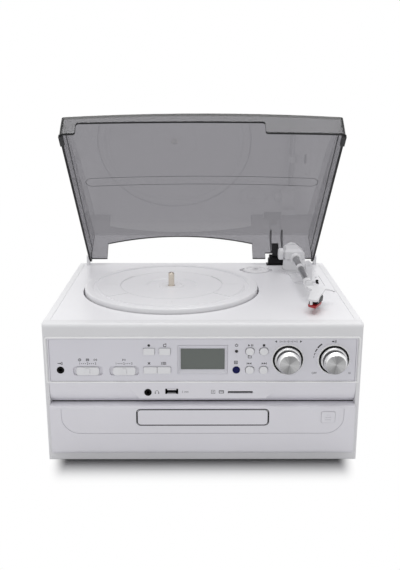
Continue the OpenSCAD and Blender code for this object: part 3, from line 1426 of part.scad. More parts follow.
front_frame();
side_panel_left();
side_panel_right();
base_panel();
rear_panel();
top_deck();
front_fascia();
control_plate();
lcd_bezel();
lcd_window();
power_led();
ir_lens();
knob_collars();
tuning_knob();
volume_knob();
function_slider();
band_slider();
button_record();
button_mode();
button_delete();
button_preset();
button_play();
button_stop();
button_back();
button_next();
button_eject();
front_board();
phone_jacks();
usb_port();
sd_socket();
tray_front();
cd_tray();
cd_drive_chassis();
tray_gear();
platter();
spindle();
drive_belt();
motor();
motor_pulley();
arm_base();
arm_turret();
arm_housing();
arm_tube();
head_shell();
cartridge();
stylus();
arm_rest();
arm_collar();
adapter_45();
speed_switch();
dust_cover();
hinge_posts();
friction_hinge();
hinge_leaf();
lid_bumpers();
speakers();
main_board();
power_transformer();
rubber_feet();
rear_sockets();
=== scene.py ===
import bpy
import bmesh
from math import cos, pi, radians, sin
from mathutils import Euler, Matrix, Vector


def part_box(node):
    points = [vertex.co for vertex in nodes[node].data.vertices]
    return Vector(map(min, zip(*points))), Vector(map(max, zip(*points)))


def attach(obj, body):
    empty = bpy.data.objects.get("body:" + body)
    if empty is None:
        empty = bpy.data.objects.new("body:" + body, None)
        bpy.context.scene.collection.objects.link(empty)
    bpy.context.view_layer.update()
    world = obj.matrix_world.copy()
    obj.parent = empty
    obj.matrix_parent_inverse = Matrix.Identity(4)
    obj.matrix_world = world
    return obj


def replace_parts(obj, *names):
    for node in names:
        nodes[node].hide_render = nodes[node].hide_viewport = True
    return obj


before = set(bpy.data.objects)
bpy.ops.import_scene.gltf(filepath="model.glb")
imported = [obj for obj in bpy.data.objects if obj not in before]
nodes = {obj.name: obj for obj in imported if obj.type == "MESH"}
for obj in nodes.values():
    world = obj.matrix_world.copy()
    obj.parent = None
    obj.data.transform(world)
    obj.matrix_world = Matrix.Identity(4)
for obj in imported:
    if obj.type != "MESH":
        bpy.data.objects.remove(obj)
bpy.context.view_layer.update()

# The camera of the photograph: a little above the front edge of the deck, looking slightly down
# at the middle of the cabinet, with a 46 mm lens and no shift.
camera = bpy.data.objects.new("camera", bpy.data.cameras.new("camera"))
camera.data.lens = 46.38
camera.data.sensor_fit = "VERTICAL"
camera.data.sensor_height = 36.0
camera.location = (-0.00482, -0.87008, 0.40654)
camera.rotation_euler = Euler((radians(90.0 - 15.38), 0.0, radians(-0.15)))
bpy.context.scene.collection.objects.link(camera)
bpy.context.scene.camera = camera
bpy.context.scene.view_settings.view_transform = "Standard"

# The studio: an even pale room with one broad soft lamp overhead and a weak one at the front left.
# Camera, gloss and see-through rays meet plain white, and everything else gets the room's light.
def reckon(tree, kind, operation, *values):
    """One step of arithmetic in a material, between numbers and the outputs of earlier steps."""
    node = tree.nodes.new("ShaderNode" + kind)
    node.operation = operation
    for socket, value in zip(node.inputs, values):
        if isinstance(value, bpy.types.NodeSocket):
            tree.links.new(value, socket)
        else:
            socket.default_value = value
    single = kind == "Math" or operation in ("LENGTH", "DOT_PRODUCT")
    return node.outputs["Value" if single else "Vector"]


def stretch(tree, value, start=0.0, end=1.0, low=0.0, high=1.0, way="LINEAR"):
    """Turns the range from start to end into the range from low to high."""
    node = tree.nodes.new("ShaderNodeMapRange")
    node.interpolation_type = way
    node.inputs["From Min"].default_value = start
    node.inputs["From Max"].default_value = end
    node.inputs["To Min"].default_value = low
    node.inputs["To Max"].default_value = high
    tree.links.new(value, node.inputs["Value"])
    return node.outputs["Result"]


room = bpy.data.worlds.new("room")
bpy.context.scene.world = room
room.use_nodes = True
sky = room.node_tree.nodes["Background"]
sky.inputs["Color"].default_value = (1.0, 1.0, 1.0, 1.0)
room_rays = room.node_tree.nodes.new("ShaderNodeLightPath").outputs
seen = reckon(room.node_tree, "Math", "MAXIMUM", room_rays["Is Camera Ray"], room_rays["Is Glossy Ray"])
seen = reckon(room.node_tree, "Math", "MAXIMUM", seen, room_rays["Is Transmission Ray"])
room.node_tree.links.new(stretch(room.node_tree, seen, low=0.57), sky.inputs["Strength"])


def softbox(name, place, aim, size, power):
    lamp = bpy.data.objects.new(name, bpy.data.lights.new(name, "AREA"))
    lamp.data.shape = "SQUARE"
    lamp.data.size = size
    lamp.data.energy = power
    lamp.location = place
    lamp.rotation_euler = (Vector(aim) - Vector(place)).to_track_quat("-Z", "Y").to_euler()
    bpy.context.scene.collection.objects.link(lamp)


softbox("overhead_softbox", (0.1, 0.3, 1.9), (0.0, 0.0, 0.16), 1.55, 21.3)
softbox("front_softbox", (-1.5, -1.7, 0.9), (0.0, 0.0, 0.1), 1.2, 2.2)

# The table top: a plain white sheet that runs out of the picture. It keeps the soft shadow close
# round the cabinet, where a painted shadow makes its paper greyer, and is as white as the room elsewhere.
def between(tree, share, first, second):
    """Mixes two colours, each of them plain or the output of an earlier step."""
    node = tree.nodes.new("ShaderNodeMix")
    node.data_type = "RGBA"
    tree.links.new(share, node.inputs[0])
    for socket, colour in ((node.inputs[6], first), (node.inputs[7], second)):
        if isinstance(colour, bpy.types.NodeSocket):
            tree.links.new(colour, socket)
        else:
            socket.default_value = (*colour, 1.0)
    return node.outputs[2]


def overlay(tree, share, lower, upper):
    """Lays one shader over another, by its share."""
    node = tree.nodes.new("ShaderNodeMixShader")
    for socket, value in zip(node.inputs, (share, lower, upper)):
        tree.links.new(value, socket)
    return node.outputs[0]


sheet = bmesh.new()
bmesh.ops.create_grid(sheet, x_segments=1, y_segments=1, size=4.0)
table_top = bpy.data.objects.new("table_top", bpy.data.meshes.new("table_top"))
sheet.to_mesh(table_top.data)
sheet.free()
bpy.context.scene.collection.objects.link(table_top)
paper = bpy.data.materials.new("white_paper")
paper.use_nodes = True
paper_tree = paper.node_tree
paper_face = paper_tree.nodes["Principled BSDF"]
paper_face.inputs["Roughness"].default_value = 0.9
paper_rays = paper_tree.nodes.new("ShaderNodeLightPath").outputs
paper_place = paper_tree.nodes.new("ShaderNodeTexCoord").outputs["Object"]
# distance outward from the cabinet's outline, which counts more at the sides
paper_past = reckon(paper_tree, "VectorMath", "ABSOLUTE", paper_place)
paper_past = reckon(paper_tree, "VectorMath", "SUBTRACT", paper_past, (0.150, 0.136, 1.0))
paper_past = reckon(paper_tree, "VectorMath", "MAXIMUM", paper_past, (0.0, 0.0, 0.0))
paper_past = reckon(paper_tree, "VectorMath", "MULTIPLY", paper_past, (2.4, 1.0, 1.0))
paper_far = reckon(paper_tree, "VectorMath", "LENGTH", paper_past)
paper_fade = stretch(paper_tree, paper_far, end=0.048, way="SMOOTHSTEP")
# painted shadow: the paper's colour is greyer close round the cabinet, where its shadow falls
paper_painted_shadow = between(paper_tree, paper_fade, (0.42, 0.42, 0.43), (0.86, 0.86, 0.87))
paper_tree.links.new(paper_painted_shadow, paper_face.inputs["Base Color"])
paper_seen = reckon(
    paper_tree, "Math", "MAXIMUM", paper_rays["Is Camera Ray"], paper_rays["Is Transmission Ray"],
)
paper_seen = reckon(paper_tree, "Math", "MULTIPLY", paper_seen, paper_fade)
paper_white = paper_tree.nodes.new("ShaderNodeEmission")
paper_white.inputs["Strength"].default_value = 1.0
paper_all = overlay(paper_tree, paper_seen, paper_face.outputs[0], paper_white.outputs[0])
paper_tree.links.new(paper_all, paper_tree.nodes["Material Output"].inputs["Surface"])
table_top.data.materials.append(paper)


# The cabinet's side boards: fibreboard, sprayed with satin white paint, so the surface has a faint
# orange peel. They are screwed to the base and the frame from inside.
def noise(tree, place, scale, detail):
    """Soft random patches of the given fineness."""
    node = tree.nodes.new("ShaderNodeTexNoise")
    node.inputs["Scale"].default_value = scale
    node.inputs["Detail"].default_value = detail
    tree.links.new(place, node.inputs["Vector"])
    return node.outputs["Fac"]


def finish(
    name, colour, roughness, grain=2200.0, depth=0.00002, shade=0.03, metal=0.0, edge=0.0005, shine=0.5,
):
    """A moulded, painted or metal surface: its colour drifts, and a fine grain breaks its gloss."""
    material = bpy.data.materials.new(name)
    material.use_nodes = True
    tree = material.node_tree
    surface = tree.nodes["Principled BSDF"]
    surface.inputs["Metallic"].default_value = metal
    surface.inputs["Specular IOR Level"].default_value = shine
    place = tree.nodes.new("ShaderNodeTexCoord").outputs["Object"]
    darker = [c * (1.0 - shade) for c in colour]
    lighter = [min(1.0, c * (1.0 + shade)) for c in colour]
    drift = noise(tree, place, 14.0, 3.0)
    tree.links.new(between(tree, drift, darker, lighter), surface.inputs["Base Color"])
    fine = noise(tree, place, grain, 2.0)
    gloss = stretch(tree, fine, low=roughness * 0.88, high=min(1.0, roughness * 1.12))
    tree.links.new(gloss, surface.inputs["Roughness"])
    relief = tree.nodes.new("ShaderNodeBump")
    relief.inputs["Strength"].default_value = 0.5
    relief.inputs["Distance"].default_value = depth
    tree.links.new(fine, relief.inputs["Height"])
    if edge:
        rounded = tree.nodes.new("ShaderNodeBevel")
        rounded.samples = 4
        rounded.inputs["Radius"].default_value = edge
        tree.links.new(rounded.outputs["Normal"], relief.inputs["Normal"])
    tree.links.new(relief.outputs["Normal"], surface.inputs["Normal"])
    return material


def dress(material, *names):
    """Gives CAD nodes their finished material."""
    for name in names:
        for holder in nodes[name].material_slots:
            holder.material = material


sprayed_board = finish("sprayed_board", (0.83, 0.83, 0.845), 0.38, grain=900.0, depth=0.00003)
dress(sprayed_board, "side_panel_left", "side_panel_right")

# The front frame: a moulded ring of satin white plastic with a rounded top edge, snapped over the
# front ends of the boards.
frame_white = finish("frame_white", (0.775, 0.775, 0.79), 0.42)
dress(frame_white, "front_frame")

# Base board and rear panel: raw grey-white board below and a pressed fibre panel with vents at the
# back, both screwed on.
raw_board = finish("raw_board", (0.62, 0.60, 0.57), 0.8, grain=1300.0, depth=0.00006, shade=0.08)
dress(raw_board, "base_panel")
rear_fibre = finish("rear_fibre", (0.72, 0.71, 0.70), 0.7, grain=1500.0, depth=0.00004, shade=0.05)
dress(rear_fibre, "rear_panel")

# Four moulded rubber feet: short black pegs with a flat sole. They are pressed into holes of the
# base board.
foot_rubber = finish("foot_rubber", (0.03, 0.03, 0.032), 0.75, grain=3200.0, depth=0.00003, shade=0.15)
dress(foot_rubber, "rubber_feet")

# The deck: one large moulding in white plastic with a very fine texture. Platter well, adapter cup
# and the pad under the tonearm are moulded into it.
deck_white = finish("deck_white", (0.84, 0.838, 0.86), 0.36, grain=2600.0)
dress(deck_white, "top_deck", "arm_base", "arm_rest", "hinge_posts")

# The front moulding: rim, plate seat, band, roll, socket tongue and lower panel in one piece of
# satin plastic with a faint lilac cast, held to the frame by hooks.
fascia_lilac = finish("fascia_lilac", (0.80, 0.79, 0.835), 0.40)
dress(fascia_lilac, "front_fascia", "tray_front", "button_eject")

# The control plate: a thin plastic plate with a silvery lilac lacquer, stuck into its seat. The
# display's frame has the same lacquer.
plate_lacquer = finish("plate_lacquer", (0.745, 0.738, 0.79), 0.34, grain=3400.0, depth=0.000012)
dress(plate_lacquer, "control_plate", "lcd_bezel")

# The display's window: clear plastic with a faint gloss, clipped into its frame, over a grey-green
# liquid crystal panel that is switched off.
window_grey = finish(
    "window_grey", (0.135, 0.15, 0.138), 0.16, grain=300.0, depth=0.000002, shade=0.06, edge=0.0,
)
dress(window_grey, "lcd_window")

# The power lamp and the remote sensor's window: a dark red lens, and a glossy navy one. Both are
# pushed through the plate from behind.
lamp_red = finish("lamp_red", (0.004, 0.001, 0.001), 0.3, grain=900.0, depth=0.000004)
dress(lamp_red, "power_led")
lens_navy = finish(
    "lens_navy", (0.005, 0.007, 0.075), 0.2, grain=900.0, depth=0.000004, edge=0.0, shine=0.15,
)
dress(lens_navy, "ir_lens")

# Push buttons and slide caps: moulded in the same white plastic, a little glossier than the plate.
# The buttons reach through to tact switches, and the caps are pushed onto the switches' stems.
key_white = finish("key_white", (0.83, 0.83, 0.85), 0.3)
dress(
    key_white,
    "button_record", "button_mode", "button_delete", "button_preset", "button_play", "button_stop",
    "button_back", "button_next", "function_slider", "band_slider",
)

# The collars round the knobs: two rings of bright white plastic, pressed into the plate. Each one
# frames the recess in which its knob turns.
collar_white = finish("collar_white", (0.93, 0.93, 0.935), 0.25)
dress(collar_white, "knob_collars")


# The two knobs: turned aluminium with a polished lip and a spun face, pushed onto their shafts. The
# turning leaves fine rings on the sides. Light and shade are painted into the metal's colour: two
# opposite fans of painted highlight on the face, a painted highlight on the lip's upper part and
# painted shade below it, painted shade on the side towards its lower right, and a painted highlight
# on the skirt.
def spun_metal_painted_light(name, x, z):
    """Turned metal round an axis along Y at x and z, with painted highlights and shade in its colour."""
    material = bpy.data.materials.new(name)
    material.use_nodes = True
    tree = material.node_tree
    surface = tree.nodes["Principled BSDF"]
    surface.inputs["Metallic"].default_value = 1.0
    place = tree.nodes.new("ShaderNodeTexCoord").outputs["Object"]
    centred = reckon(tree, "VectorMath", "SUBTRACT", place, (x, 0.0, z))
    split = tree.nodes.new("ShaderNodeSeparateXYZ")
    tree.links.new(centred, split.inputs[0])
    radius = reckon(
        tree, "VectorMath", "LENGTH", reckon(tree, "VectorMath", "MULTIPLY", centred, (1.0, 0.0, 1.0)),
    )
    # the face: two fans of painted highlight, with streaks from the centre outward
    turn = reckon(tree, "Math", "ARCTAN2", split.outputs["Z"], split.outputs["X"])
    lean = reckon(tree, "Math", "ADD", reckon(tree, "Math", "MULTIPLY", turn, 2.0), 0.5)
    wave = reckon(tree, "Math", "COSINE", lean)
    spoke_place = tree.nodes.new("ShaderNodeCombineXYZ")
    tree.links.new(turn, spoke_place.inputs["X"])
    streaks = noise(tree, spoke_place.outputs[0], 3.0, 4.0)
    face_painted_glints = between(
        tree, reckon(tree, "Math", "MULTIPLY_ADD", wave, 0.38, streaks), (0.252,) * 3, (0.57,) * 3,
    )
    # the lip: the polished cone round the face, with a painted highlight above and painted shade below
    lip_painted_highlight = between(tree, stretch(tree, split.outputs["Z"], -0.011, 0.002), (0.42,) * 3, (0.97,) * 3)
    front = between(tree, stretch(tree, radius, 0.0104, 0.0101), lip_painted_highlight, face_painted_glints)
    # the side, with painted shade darker at its lower right, and the skirt behind it as a painted
    # highlight
    side_shade_slope = reckon(tree, "VectorMath", "DOT_PRODUCT", centred, (56.0, 0.0, -56.0))
    side = between(tree, stretch(tree, side_shade_slope, -1.0, 1.0), (0.132,) * 3, (0.372,) * 3)
    ahead = between(tree, stretch(tree, split.outputs["Y"], -0.1464, -0.1469), side, front)
    skirt = stretch(tree, split.outputs["Y"], -0.1414, -0.1408)
    tree.links.new(between(tree, skirt, ahead, (0.84,) * 3), surface.inputs["Base Color"])
    # fine rings left by the turning tool
    ring_place = tree.nodes.new("ShaderNodeCombineXYZ")
    tree.links.new(radius, ring_place.inputs["X"])
    tree.links.new(split.outputs["Y"], ring_place.inputs["Y"])
    rings = noise(tree, ring_place.outputs[0], 5200.0, 2.0)
    relief = tree.nodes.new("ShaderNodeBump")
    relief.inputs["Strength"].default_value = 0.25
    relief.inputs["Distance"].default_value = 0.00001
    tree.links.new(rings, relief.inputs["Height"])
    tree.links.new(relief.outputs["Normal"], surface.inputs["Normal"])
    tree.links.new(stretch(tree, rings, low=0.22, high=0.36), surface.inputs["Roughness"])
    return material


def add_piece(name, form, material, body):
    """Makes an object from a finished form and lets it ride on its body."""
    mesh = bpy.data.meshes.new(name)
    form.to_mesh(mesh)
    form.free()
    mesh.materials.append(material)
    piece = bpy.data.objects.new(name, mesh)
    bpy.context.scene.collection.objects.link(piece)
    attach(piece, body)
    return piece


# radius and depth of the skirt, the waist, the side, the lip's cone and the face, in millimetres
knob_profile = (
    (0.0, -134.9), (13.7, -134.9), (14.1, -135.4), (14.1, -137.9), (13.4, -139.2), (12.8, -139.7),
    (12.6, -140.6), (12.6, -146.5), (12.4, -147.1), (10.4, -150.9), (10.1, -151.2), (0.0, -151.2),
)
for knob in ("tuning_knob", "volume_knob"):
    low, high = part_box(knob)
    knob_x = (low.x + high.x) / 2
    knob_z = (low.z + high.z) / 2
    blank = bmesh.new()
    turned_line = [blank.verts.new((knob_x + 0.001 * r, 0.001 * y, knob_z)) for r, y in knob_profile]
    for start, end in zip(turned_line, turned_line[1:]):
        blank.edges.new((start, end))
    bmesh.ops.spin(
        blank, geom=[*blank.verts, *blank.edges], cent=(knob_x, 0.0, knob_z), axis=(0.0, 1.0, 0.0),
        angle=2 * pi, steps=96, use_merge=True, use_duplicate=False,
    )
    bmesh.ops.remove_doubles(blank, verts=blank.verts, dist=0.000002)
    bmesh.ops.recalc_face_normals(blank, faces=blank.faces)
    for face in blank.faces:
        face.smooth = True
    for rim in blank.edges:
        rim.smooth = rim.calc_face_angle(0.0) < radians(20.0)
    turned = add_piece(knob + "_turned", blank, spun_metal_painted_light(knob + "_metal", knob_x, knob_z), knob)
    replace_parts(turned, knob)

# A flat black ring in each knob's recess, on the seat behind the collar round the shaft. It is painted
# shade: it stands for the shade in the recess, and it shows as a black ring inside the collar.
recess_shade_black = finish(
    "recess_shade_black", (0.008, 0.008, 0.009), 0.95, grain=3800.0, depth=0.0001, shade=0.3, edge=0.0,
)
shade_ring_radius = 0.0105
shade_ring_width = 0.0112
shade_ring_thickness = 0.0005
shade_ring_section = (
    Matrix.Translation((shade_ring_radius, 0.0, 0.0)) @ Matrix.Rotation(radians(90.0), 4, "X")
    @ Matrix.Diagonal((shade_ring_width, shade_ring_thickness, 1.0, 1.0))
)
for knob in ("tuning_knob", "volume_knob"):
    low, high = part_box(knob)
    ring = bmesh.new()
    bmesh.ops.create_grid(ring, x_segments=1, y_segments=1, size=0.5, matrix=shade_ring_section)
    bmesh.ops.delete(ring, geom=ring.faces[:], context="FACES_ONLY")
    bmesh.ops.spin(
        ring, geom=[*ring.verts, *ring.edges], cent=(0, 0, 0), axis=(0, 0, 1), angle=2 * pi, steps=64,
        use_merge=True, use_duplicate=False,
    )
    bmesh.ops.recalc_face_normals(ring, faces=ring.faces)
    axis = Matrix.Translation(((low.x + high.x) / 2, -0.1343, (low.z + high.z) / 2))
    forward = Matrix.Rotation(radians(90.0), 4, "X") @ Matrix.Translation((0.0, 0.0, shade_ring_thickness / 2))
    bmesh.ops.transform(ring, matrix=axis @ forward, verts=ring.verts)
    add_piece(knob + "_knob_recess_shade", ring, recess_shade_black, "cabinet")


# The bright bead round the control plate: a white plastic ring with round upper corners, clipped
# over the joint between the plate's seat and the band. Its upper strip is a little wider.
def flat_bar(film, x, z, width, height, turn=0.0):
    """A plain rectangle drawn in millimetres as seen from the front, turned by degrees."""
    place = Matrix.Translation((x, z, 0.0)) @ Matrix.Rotation(radians(turn), 4, "Z")
    size = Matrix.Diagonal((width, height, 1.0, 1.0))
    bmesh.ops.create_grid(film, x_segments=1, y_segments=1, size=0.5, matrix=place @ size)


def rounded_ring(x, z, width, height, corner, line, both_ends=True):
    """A flat ring drawn in millimetres as seen from the front, with rounded corners."""
    film = bmesh.new()
    flat_bar(film, x, z, width, height)
    corners = [v for v in film.verts if both_ends or v.co.y > z]
    bmesh.ops.bevel(
        film, geom=corners, offset=corner, segments=6, profile=0.5, affect="VERTICES", material=-1,
    )
    middle = film.faces[:]
    bmesh.ops.inset_region(
        film, faces=middle, thickness=line, use_even_offset=True, use_boundary=True,
    )
    bmesh.ops.delete(film, geom=middle, context="FACES_ONLY")
    return film


def press_out(name, film, back, front, material, body="cabinet", rounding=0.0):
    """Gives a flat drawing its thickness, from the depth back to the depth front, and stands it up."""
    bmesh.ops.solidify(film, geom=film.faces[:], thickness=1.0)
    bmesh.ops.recalc_face_normals(film, faces=film.faces)
    low = min(v.co.z for v in film.verts)
    for corner in film.verts:
        corner.co.z = -1000.0 * (back if corner.co.z < low + 0.5 else front)
    upright = Matrix.Rotation(radians(90.0), 4, "X") @ Matrix.Scale(0.001, 4)
    bmesh.ops.transform(film, matrix=upright, verts=film.verts)
    if rounding:
        at_front = [e for e in film.edges if all(v.co.y < front + 0.00001 for v in e.verts)]
        sharp = [e for e in at_front if e.calc_face_angle(0.0) > 1.0]
        bmesh.ops.bevel(
            film, geom=sharp, offset=rounding, segments=3, profile=0.5, affect="EDGES", material=-1,
            clamp_overlap=True,
        )
    add_piece(name, film, material, body)


bead_white = finish("bead_white", (0.95, 0.95, 0.955), 0.3)
bead = rounded_ring(0.0, 121.8, 335.6, 52.6, 3.0, 1.5, both_ends=False)
for corner in bead.verts:
    if 140.0 < corner.co.y < 146.7:
        corner.co.y -= 0.5
press_out("plate_bead", bead, -0.1346, -0.1371, bead_white, rounding=0.0009)

# Painted shade in the joints: a dark grey strip lies in the crease under the roll, and black ones line
# the opening and the front of the disc tray, so that the shade in these joints reads as thin dark lines.
joint_shade_black = finish(
    "joint_shade_black", (0.010, 0.010, 0.011), 0.95, grain=3600.0, depth=0.00008, shade=0.3, edge=0.0,
    shine=0.1,
)
crease_shade_grey = finish(
    "crease_shade_grey", (0.07, 0.07, 0.075), 0.95, grain=3600.0, depth=0.00008, shade=0.3, edge=0.0, shine=0.1,
)
crease = bmesh.new()
flat_bar(crease, 0.0, 71.2, 329.0, 1.3)
press_out("crease_painted_shade", crease, -0.1279, -0.1283, crease_shade_grey)
tray_z = 57.8
press_out("tray_painted_shade", rounded_ring(0.0, tray_z, 144.7, 20.5, 5.0, 1.17), -0.1402, -0.1419, joint_shade_black)
tray_line = rounded_ring(0.0, tray_z, 142.2, 18.0, 4.0, 0.5)
for corner in tray_line.verts:
    if 60.0 < abs(corner.co.x) < 70.9 and abs(corner.co.y - tray_z) < 8.6:
        corner.co.x *= 0.994
press_out("tray_line", tray_line, -0.1421, -0.14235, joint_shade_black, body="cd_tray")

# The data port's opening narrows in the middle: two lips of the fascia's plastic leave its ends
# taller, and a grey tongue with the contacts stands inside.
usb_low, usb_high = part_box("usb_port")
usb_x = 500.0 * (usb_low.x + usb_high.x)
lips = bmesh.new()
flat_bar(lips, usb_x, 87.85, 9.8, 1.3)
flat_bar(lips, usb_x, 83.0, 9.8, 0.5)
press_out("usb_lips", lips, -0.136, -0.1364, fascia_lilac)
contact_grey = finish("contact_grey", (0.11, 0.11, 0.115), 0.5, edge=0.0)
tongue = bmesh.new()
flat_bar(tongue, usb_x, 84.2, 8.8, 1.1)
press_out("usb_tongue", tongue, -0.136, -0.1363, contact_grey)


# The charcoal signs and numbers on the control plate and the socket tongue: pad-printed ink, so
# each mark is a film of ink lying on the plastic. They are drawn in millimetres, seen from the front.
def ink_spot(film, x, z, radius, sides=24, turn=0.0):
    place = Matrix.Translation((x, z, 0.0)) @ Matrix.Rotation(radians(turn), 4, "Z")
    bmesh.ops.create_circle(film, cap_ends=True, segments=sides, radius=radius, matrix=place)


def ink_arc(film, x, z, radius, width, start, sweep):
    """A curved stroke: a short line across the stroke, swept about the arc's centre."""
    reach = Vector((cos(radians(start)), sin(radians(start)), 0.0))
    inner = film.verts.new(Vector((x, z, 0.0)) + reach * (radius - width / 2))
    outer = film.verts.new(Vector((x, z, 0.0)) + reach * (radius + width / 2))
    bmesh.ops.spin(
        film, geom=[inner, outer, film.edges.new((inner, outer))], cent=(x, z, 0.0), axis=(0.0, 0.0, 1.0),
        angle=radians(sweep), steps=max(4, int(abs(sweep) / 12)), use_merge=sweep == 360.0,
        use_duplicate=False,
    )


def ink_frame(film, x, z, width, height, line):
    for side in (-1, 1):
        flat_bar(film, x + side * (width - line) / 2, z, line, height)
        flat_bar(film, x, z + side * (height - line) / 2, width - 2 * line, line)


def ink_digits(film, text, x, z, height):
    """A number or a short word; the font's figures are 0.7 of its size high."""
    lettering = bpy.data.curves.new("digits", "FONT")
    lettering.body = text
    lettering.size = height / 0.7
    lettering.align_x = "CENTER"
    lettering.align_y = "CENTER"
    lettering.resolution_u = 3
    holder = bpy.data.objects.new("digits", lettering)
    shape = bpy.data.meshes.new_from_object(holder)
    shape.transform(Matrix.Translation((x, z, 0.0)))
    film.from_mesh(shape)
    bpy.data.objects.remove(holder)


ink_ahead = 0.00003


def ink_film(film):
    """Gives the drawn marks the thickness of a film of ink, 0.04 mm."""
    bmesh.ops.remove_doubles(film, verts=film.verts, dist=0.0005)
    bmesh.ops.solidify(film, geom=film.faces[:], thickness=0.04)
    bmesh.ops.recalc_face_normals(film, faces=film.faces)


def print_on(name, film, y, ink):
    """Stands the drawn marks upright on the front surface at depth y."""
    ink_film(film)
    stand = Matrix.Translation((0.0, y - ink_ahead, 0.0)) @ Matrix.Rotation(radians(90.0), 4, "X")
    bmesh.ops.transform(film, matrix=stand @ Matrix.Scale(0.001, 4), verts=film.verts)
    add_piece(name, film, ink, "cabinet")


charcoal_ink = finish("charcoal_ink", (0.02, 0.02, 0.022), 0.6, grain=5200.0, depth=0.000002, edge=0.0)
grey_ink = finish("grey_ink", (0.24, 0.24, 0.25), 0.6, grain=5200.0, depth=0.000002, edge=0.0)
plate_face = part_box("control_plate")[0].y

marks = bmesh.new()
# signs over the four keys on the left: record, loop, delete, list
ink_spot(marks, -57.3, 137.9, 1.45)
ink_arc(marks, -40.4, 137.9, 1.5, 0.7, 70, 280)
ink_spot(marks, -39.3, 139.4, 1.15, sides=3, turn=-20)
flat_bar(marks, -57.4, 117.6, 3.5, 0.8, 45)
flat_bar(marks, -57.4, 117.6, 3.5, 0.8, -45)
for row in (-1.15, 0.0, 1.15):
    flat_bar(marks, -41.1, 117.6 + row, 4.0, 0.62)
    ink_spot(marks, -44.1, 117.6 + row, 0.45, sides=8)
# an arrow into a socket, over the auxiliary input
flat_bar(marks, -153.8, 117.6, 2.6, 0.75)
ink_spot(marks, -152.0, 117.6, 1.15, sides=3, turn=-90)
flat_bar(marks, -150.2, 117.6, 0.65, 3.1)
flat_bar(marks, -150.9, 118.9, 0.8, 0.6)
flat_bar(marks, -150.9, 116.3, 0.8, 0.6)
# source slide: disc, card and radio waves, over the numbers of its places
ink_arc(marks, -131.4, 121.7, 1.35, 0.6, 0, 360.0)
ink_spot(marks, -131.4, 121.7, 0.5, sides=12)
ink_frame(marks, -123.0, 121.7, 3.2, 2.7, 0.6)
flat_bar(marks, -123.0, 122.0, 1.5, 0.5)
ink_spot(marks, -114.6, 121.7, 0.55, sides=12)
ink_arc(marks, -114.6, 121.7, 1.5, 0.55, -50, 100)
ink_arc(marks, -114.6, 121.7, 1.5, 0.55, 130, 100)
# band slide: waves over the numbers of its places
ink_spot(marks, -84.2, 121.7, 0.55, sides=12)
ink_arc(marks, -84.2, 121.7, 1.5, 0.55, -50, 100)
ink_arc(marks, -84.2, 121.7, 1.5, 0.55, 130, 100)
for middle in (-123.0, -84.2):
    for place, number in ((-8.4, "1"), (0.0, "2"), (8.4, "3")):
        ink_digits(marks, number, middle + place, 117.4, 2.6)
    for dash in (-6.2, -4.2, -2.2, 2.2, 4.2, 6.2):
        ink_spot(marks, middle + dash, 117.4, 0.5, sides=10)
# power sign, and the sign of the remote sensor
ink_arc(marks, 35.9, 138.0, 1.4, 0.6, 125, 290)
flat_bar(marks, 35.9, 139.1, 0.6, 1.8)
ink_frame(marks, 35.4, 118.6, 3.7, 3.7, 0.7)
ink_spot(marks, 35.4, 118.6, 0.7, sides=12)
# play and pause, stop, back, next, and a folder for the key group
ink_spot(marks, 49.0, 137.9, 1.5, sides=3, turn=-90)
flat_bar(marks, 51.8, 137.9, 0.7, 2.4)
flat_bar(marks, 53.2, 137.9, 0.7, 2.4)
flat_bar(marks, 65.1, 137.9, 2.6, 2.6)
flat_bar(marks, 47.4, 117.4, 0.65, 2.3)
ink_spot(marks, 49.1, 117.4, 1.35, sides=3, turn=90)
ink_spot(marks, 51.4, 117.4, 1.35, sides=3, turn=90)
ink_spot(marks, 63.8, 117.4, 1.35, sides=3, turn=-90)
ink_spot(marks, 66.1, 117.4, 1.35, sides=3, turn=-90)
flat_bar(marks, 67.9, 117.4, 0.65, 2.3)
ink_frame(marks, 50.2, 124.8, 4.0, 2.8, 0.55)
flat_bar(marks, 49.1, 126.5, 1.7, 0.7)
# tuning: an arrow each way and a fine scale between them
ink_spot(marks, 78.0, 142.2, 1.5, sides=3, turn=90)
ink_spot(marks, 104.0, 142.2, 1.5, sides=3, turn=-90)
for step in range(13):
    flat_bar(marks, 82.0 + 1.5 * step, 142.2, 0.45, 2.2 if step % 3 == 0 else 1.3)
# volume: a loudspeaker, a stroke that thickens with the level, and the ends of the scale
flat_bar(marks, 137.8, 142.2, 1.2, 1.3)
ink_spot(marks, 138.8, 142.2, 1.4, sides=3, turn=90)
ink_arc(marks, 139.4, 142.2, 1.3, 0.5, -50, 100)
ink_arc(marks, 139.4, 142.2, 2.3, 0.5, -50, 100)
ink_arc(marks, 140.0, 121.7, 22.1, 1.5, 127, 16)
ink_arc(marks, 140.0, 121.7, 21.9, 1.1, 146, 10)
ink_arc(marks, 140.0, 121.7, 21.7, 0.75, 159, 7)
ink_arc(marks, 140.0, 121.7, 21.6, 0.55, 169, 6)
ink_digits(marks, "OFF", 119.6, 106.2, 2.2)
ink_digits(marks, "10", 157.2, 106.2, 2.2)
print_on("plate_marks", marks, plate_face, charcoal_ink)

tongue_face = nodes["front_fascia"].ray_cast(Vector((0.0, -0.3, 0.0847)), Vector((0.0, 1.0, 0.0)))[1].y
# a memory card's outline with its contacts, in the same dark ink
card_marks = bmesh.new()
ink_frame(card_marks, 20.2, 84.9, 5.4, 3.4, 0.6)
for contact in (-1.4, -0.5, 0.4, 1.3):
    flat_bar(card_marks, 20.2 + contact, 85.4, 0.4, 1.2)
print_on("card_marks", card_marks, tongue_face, charcoal_ink)
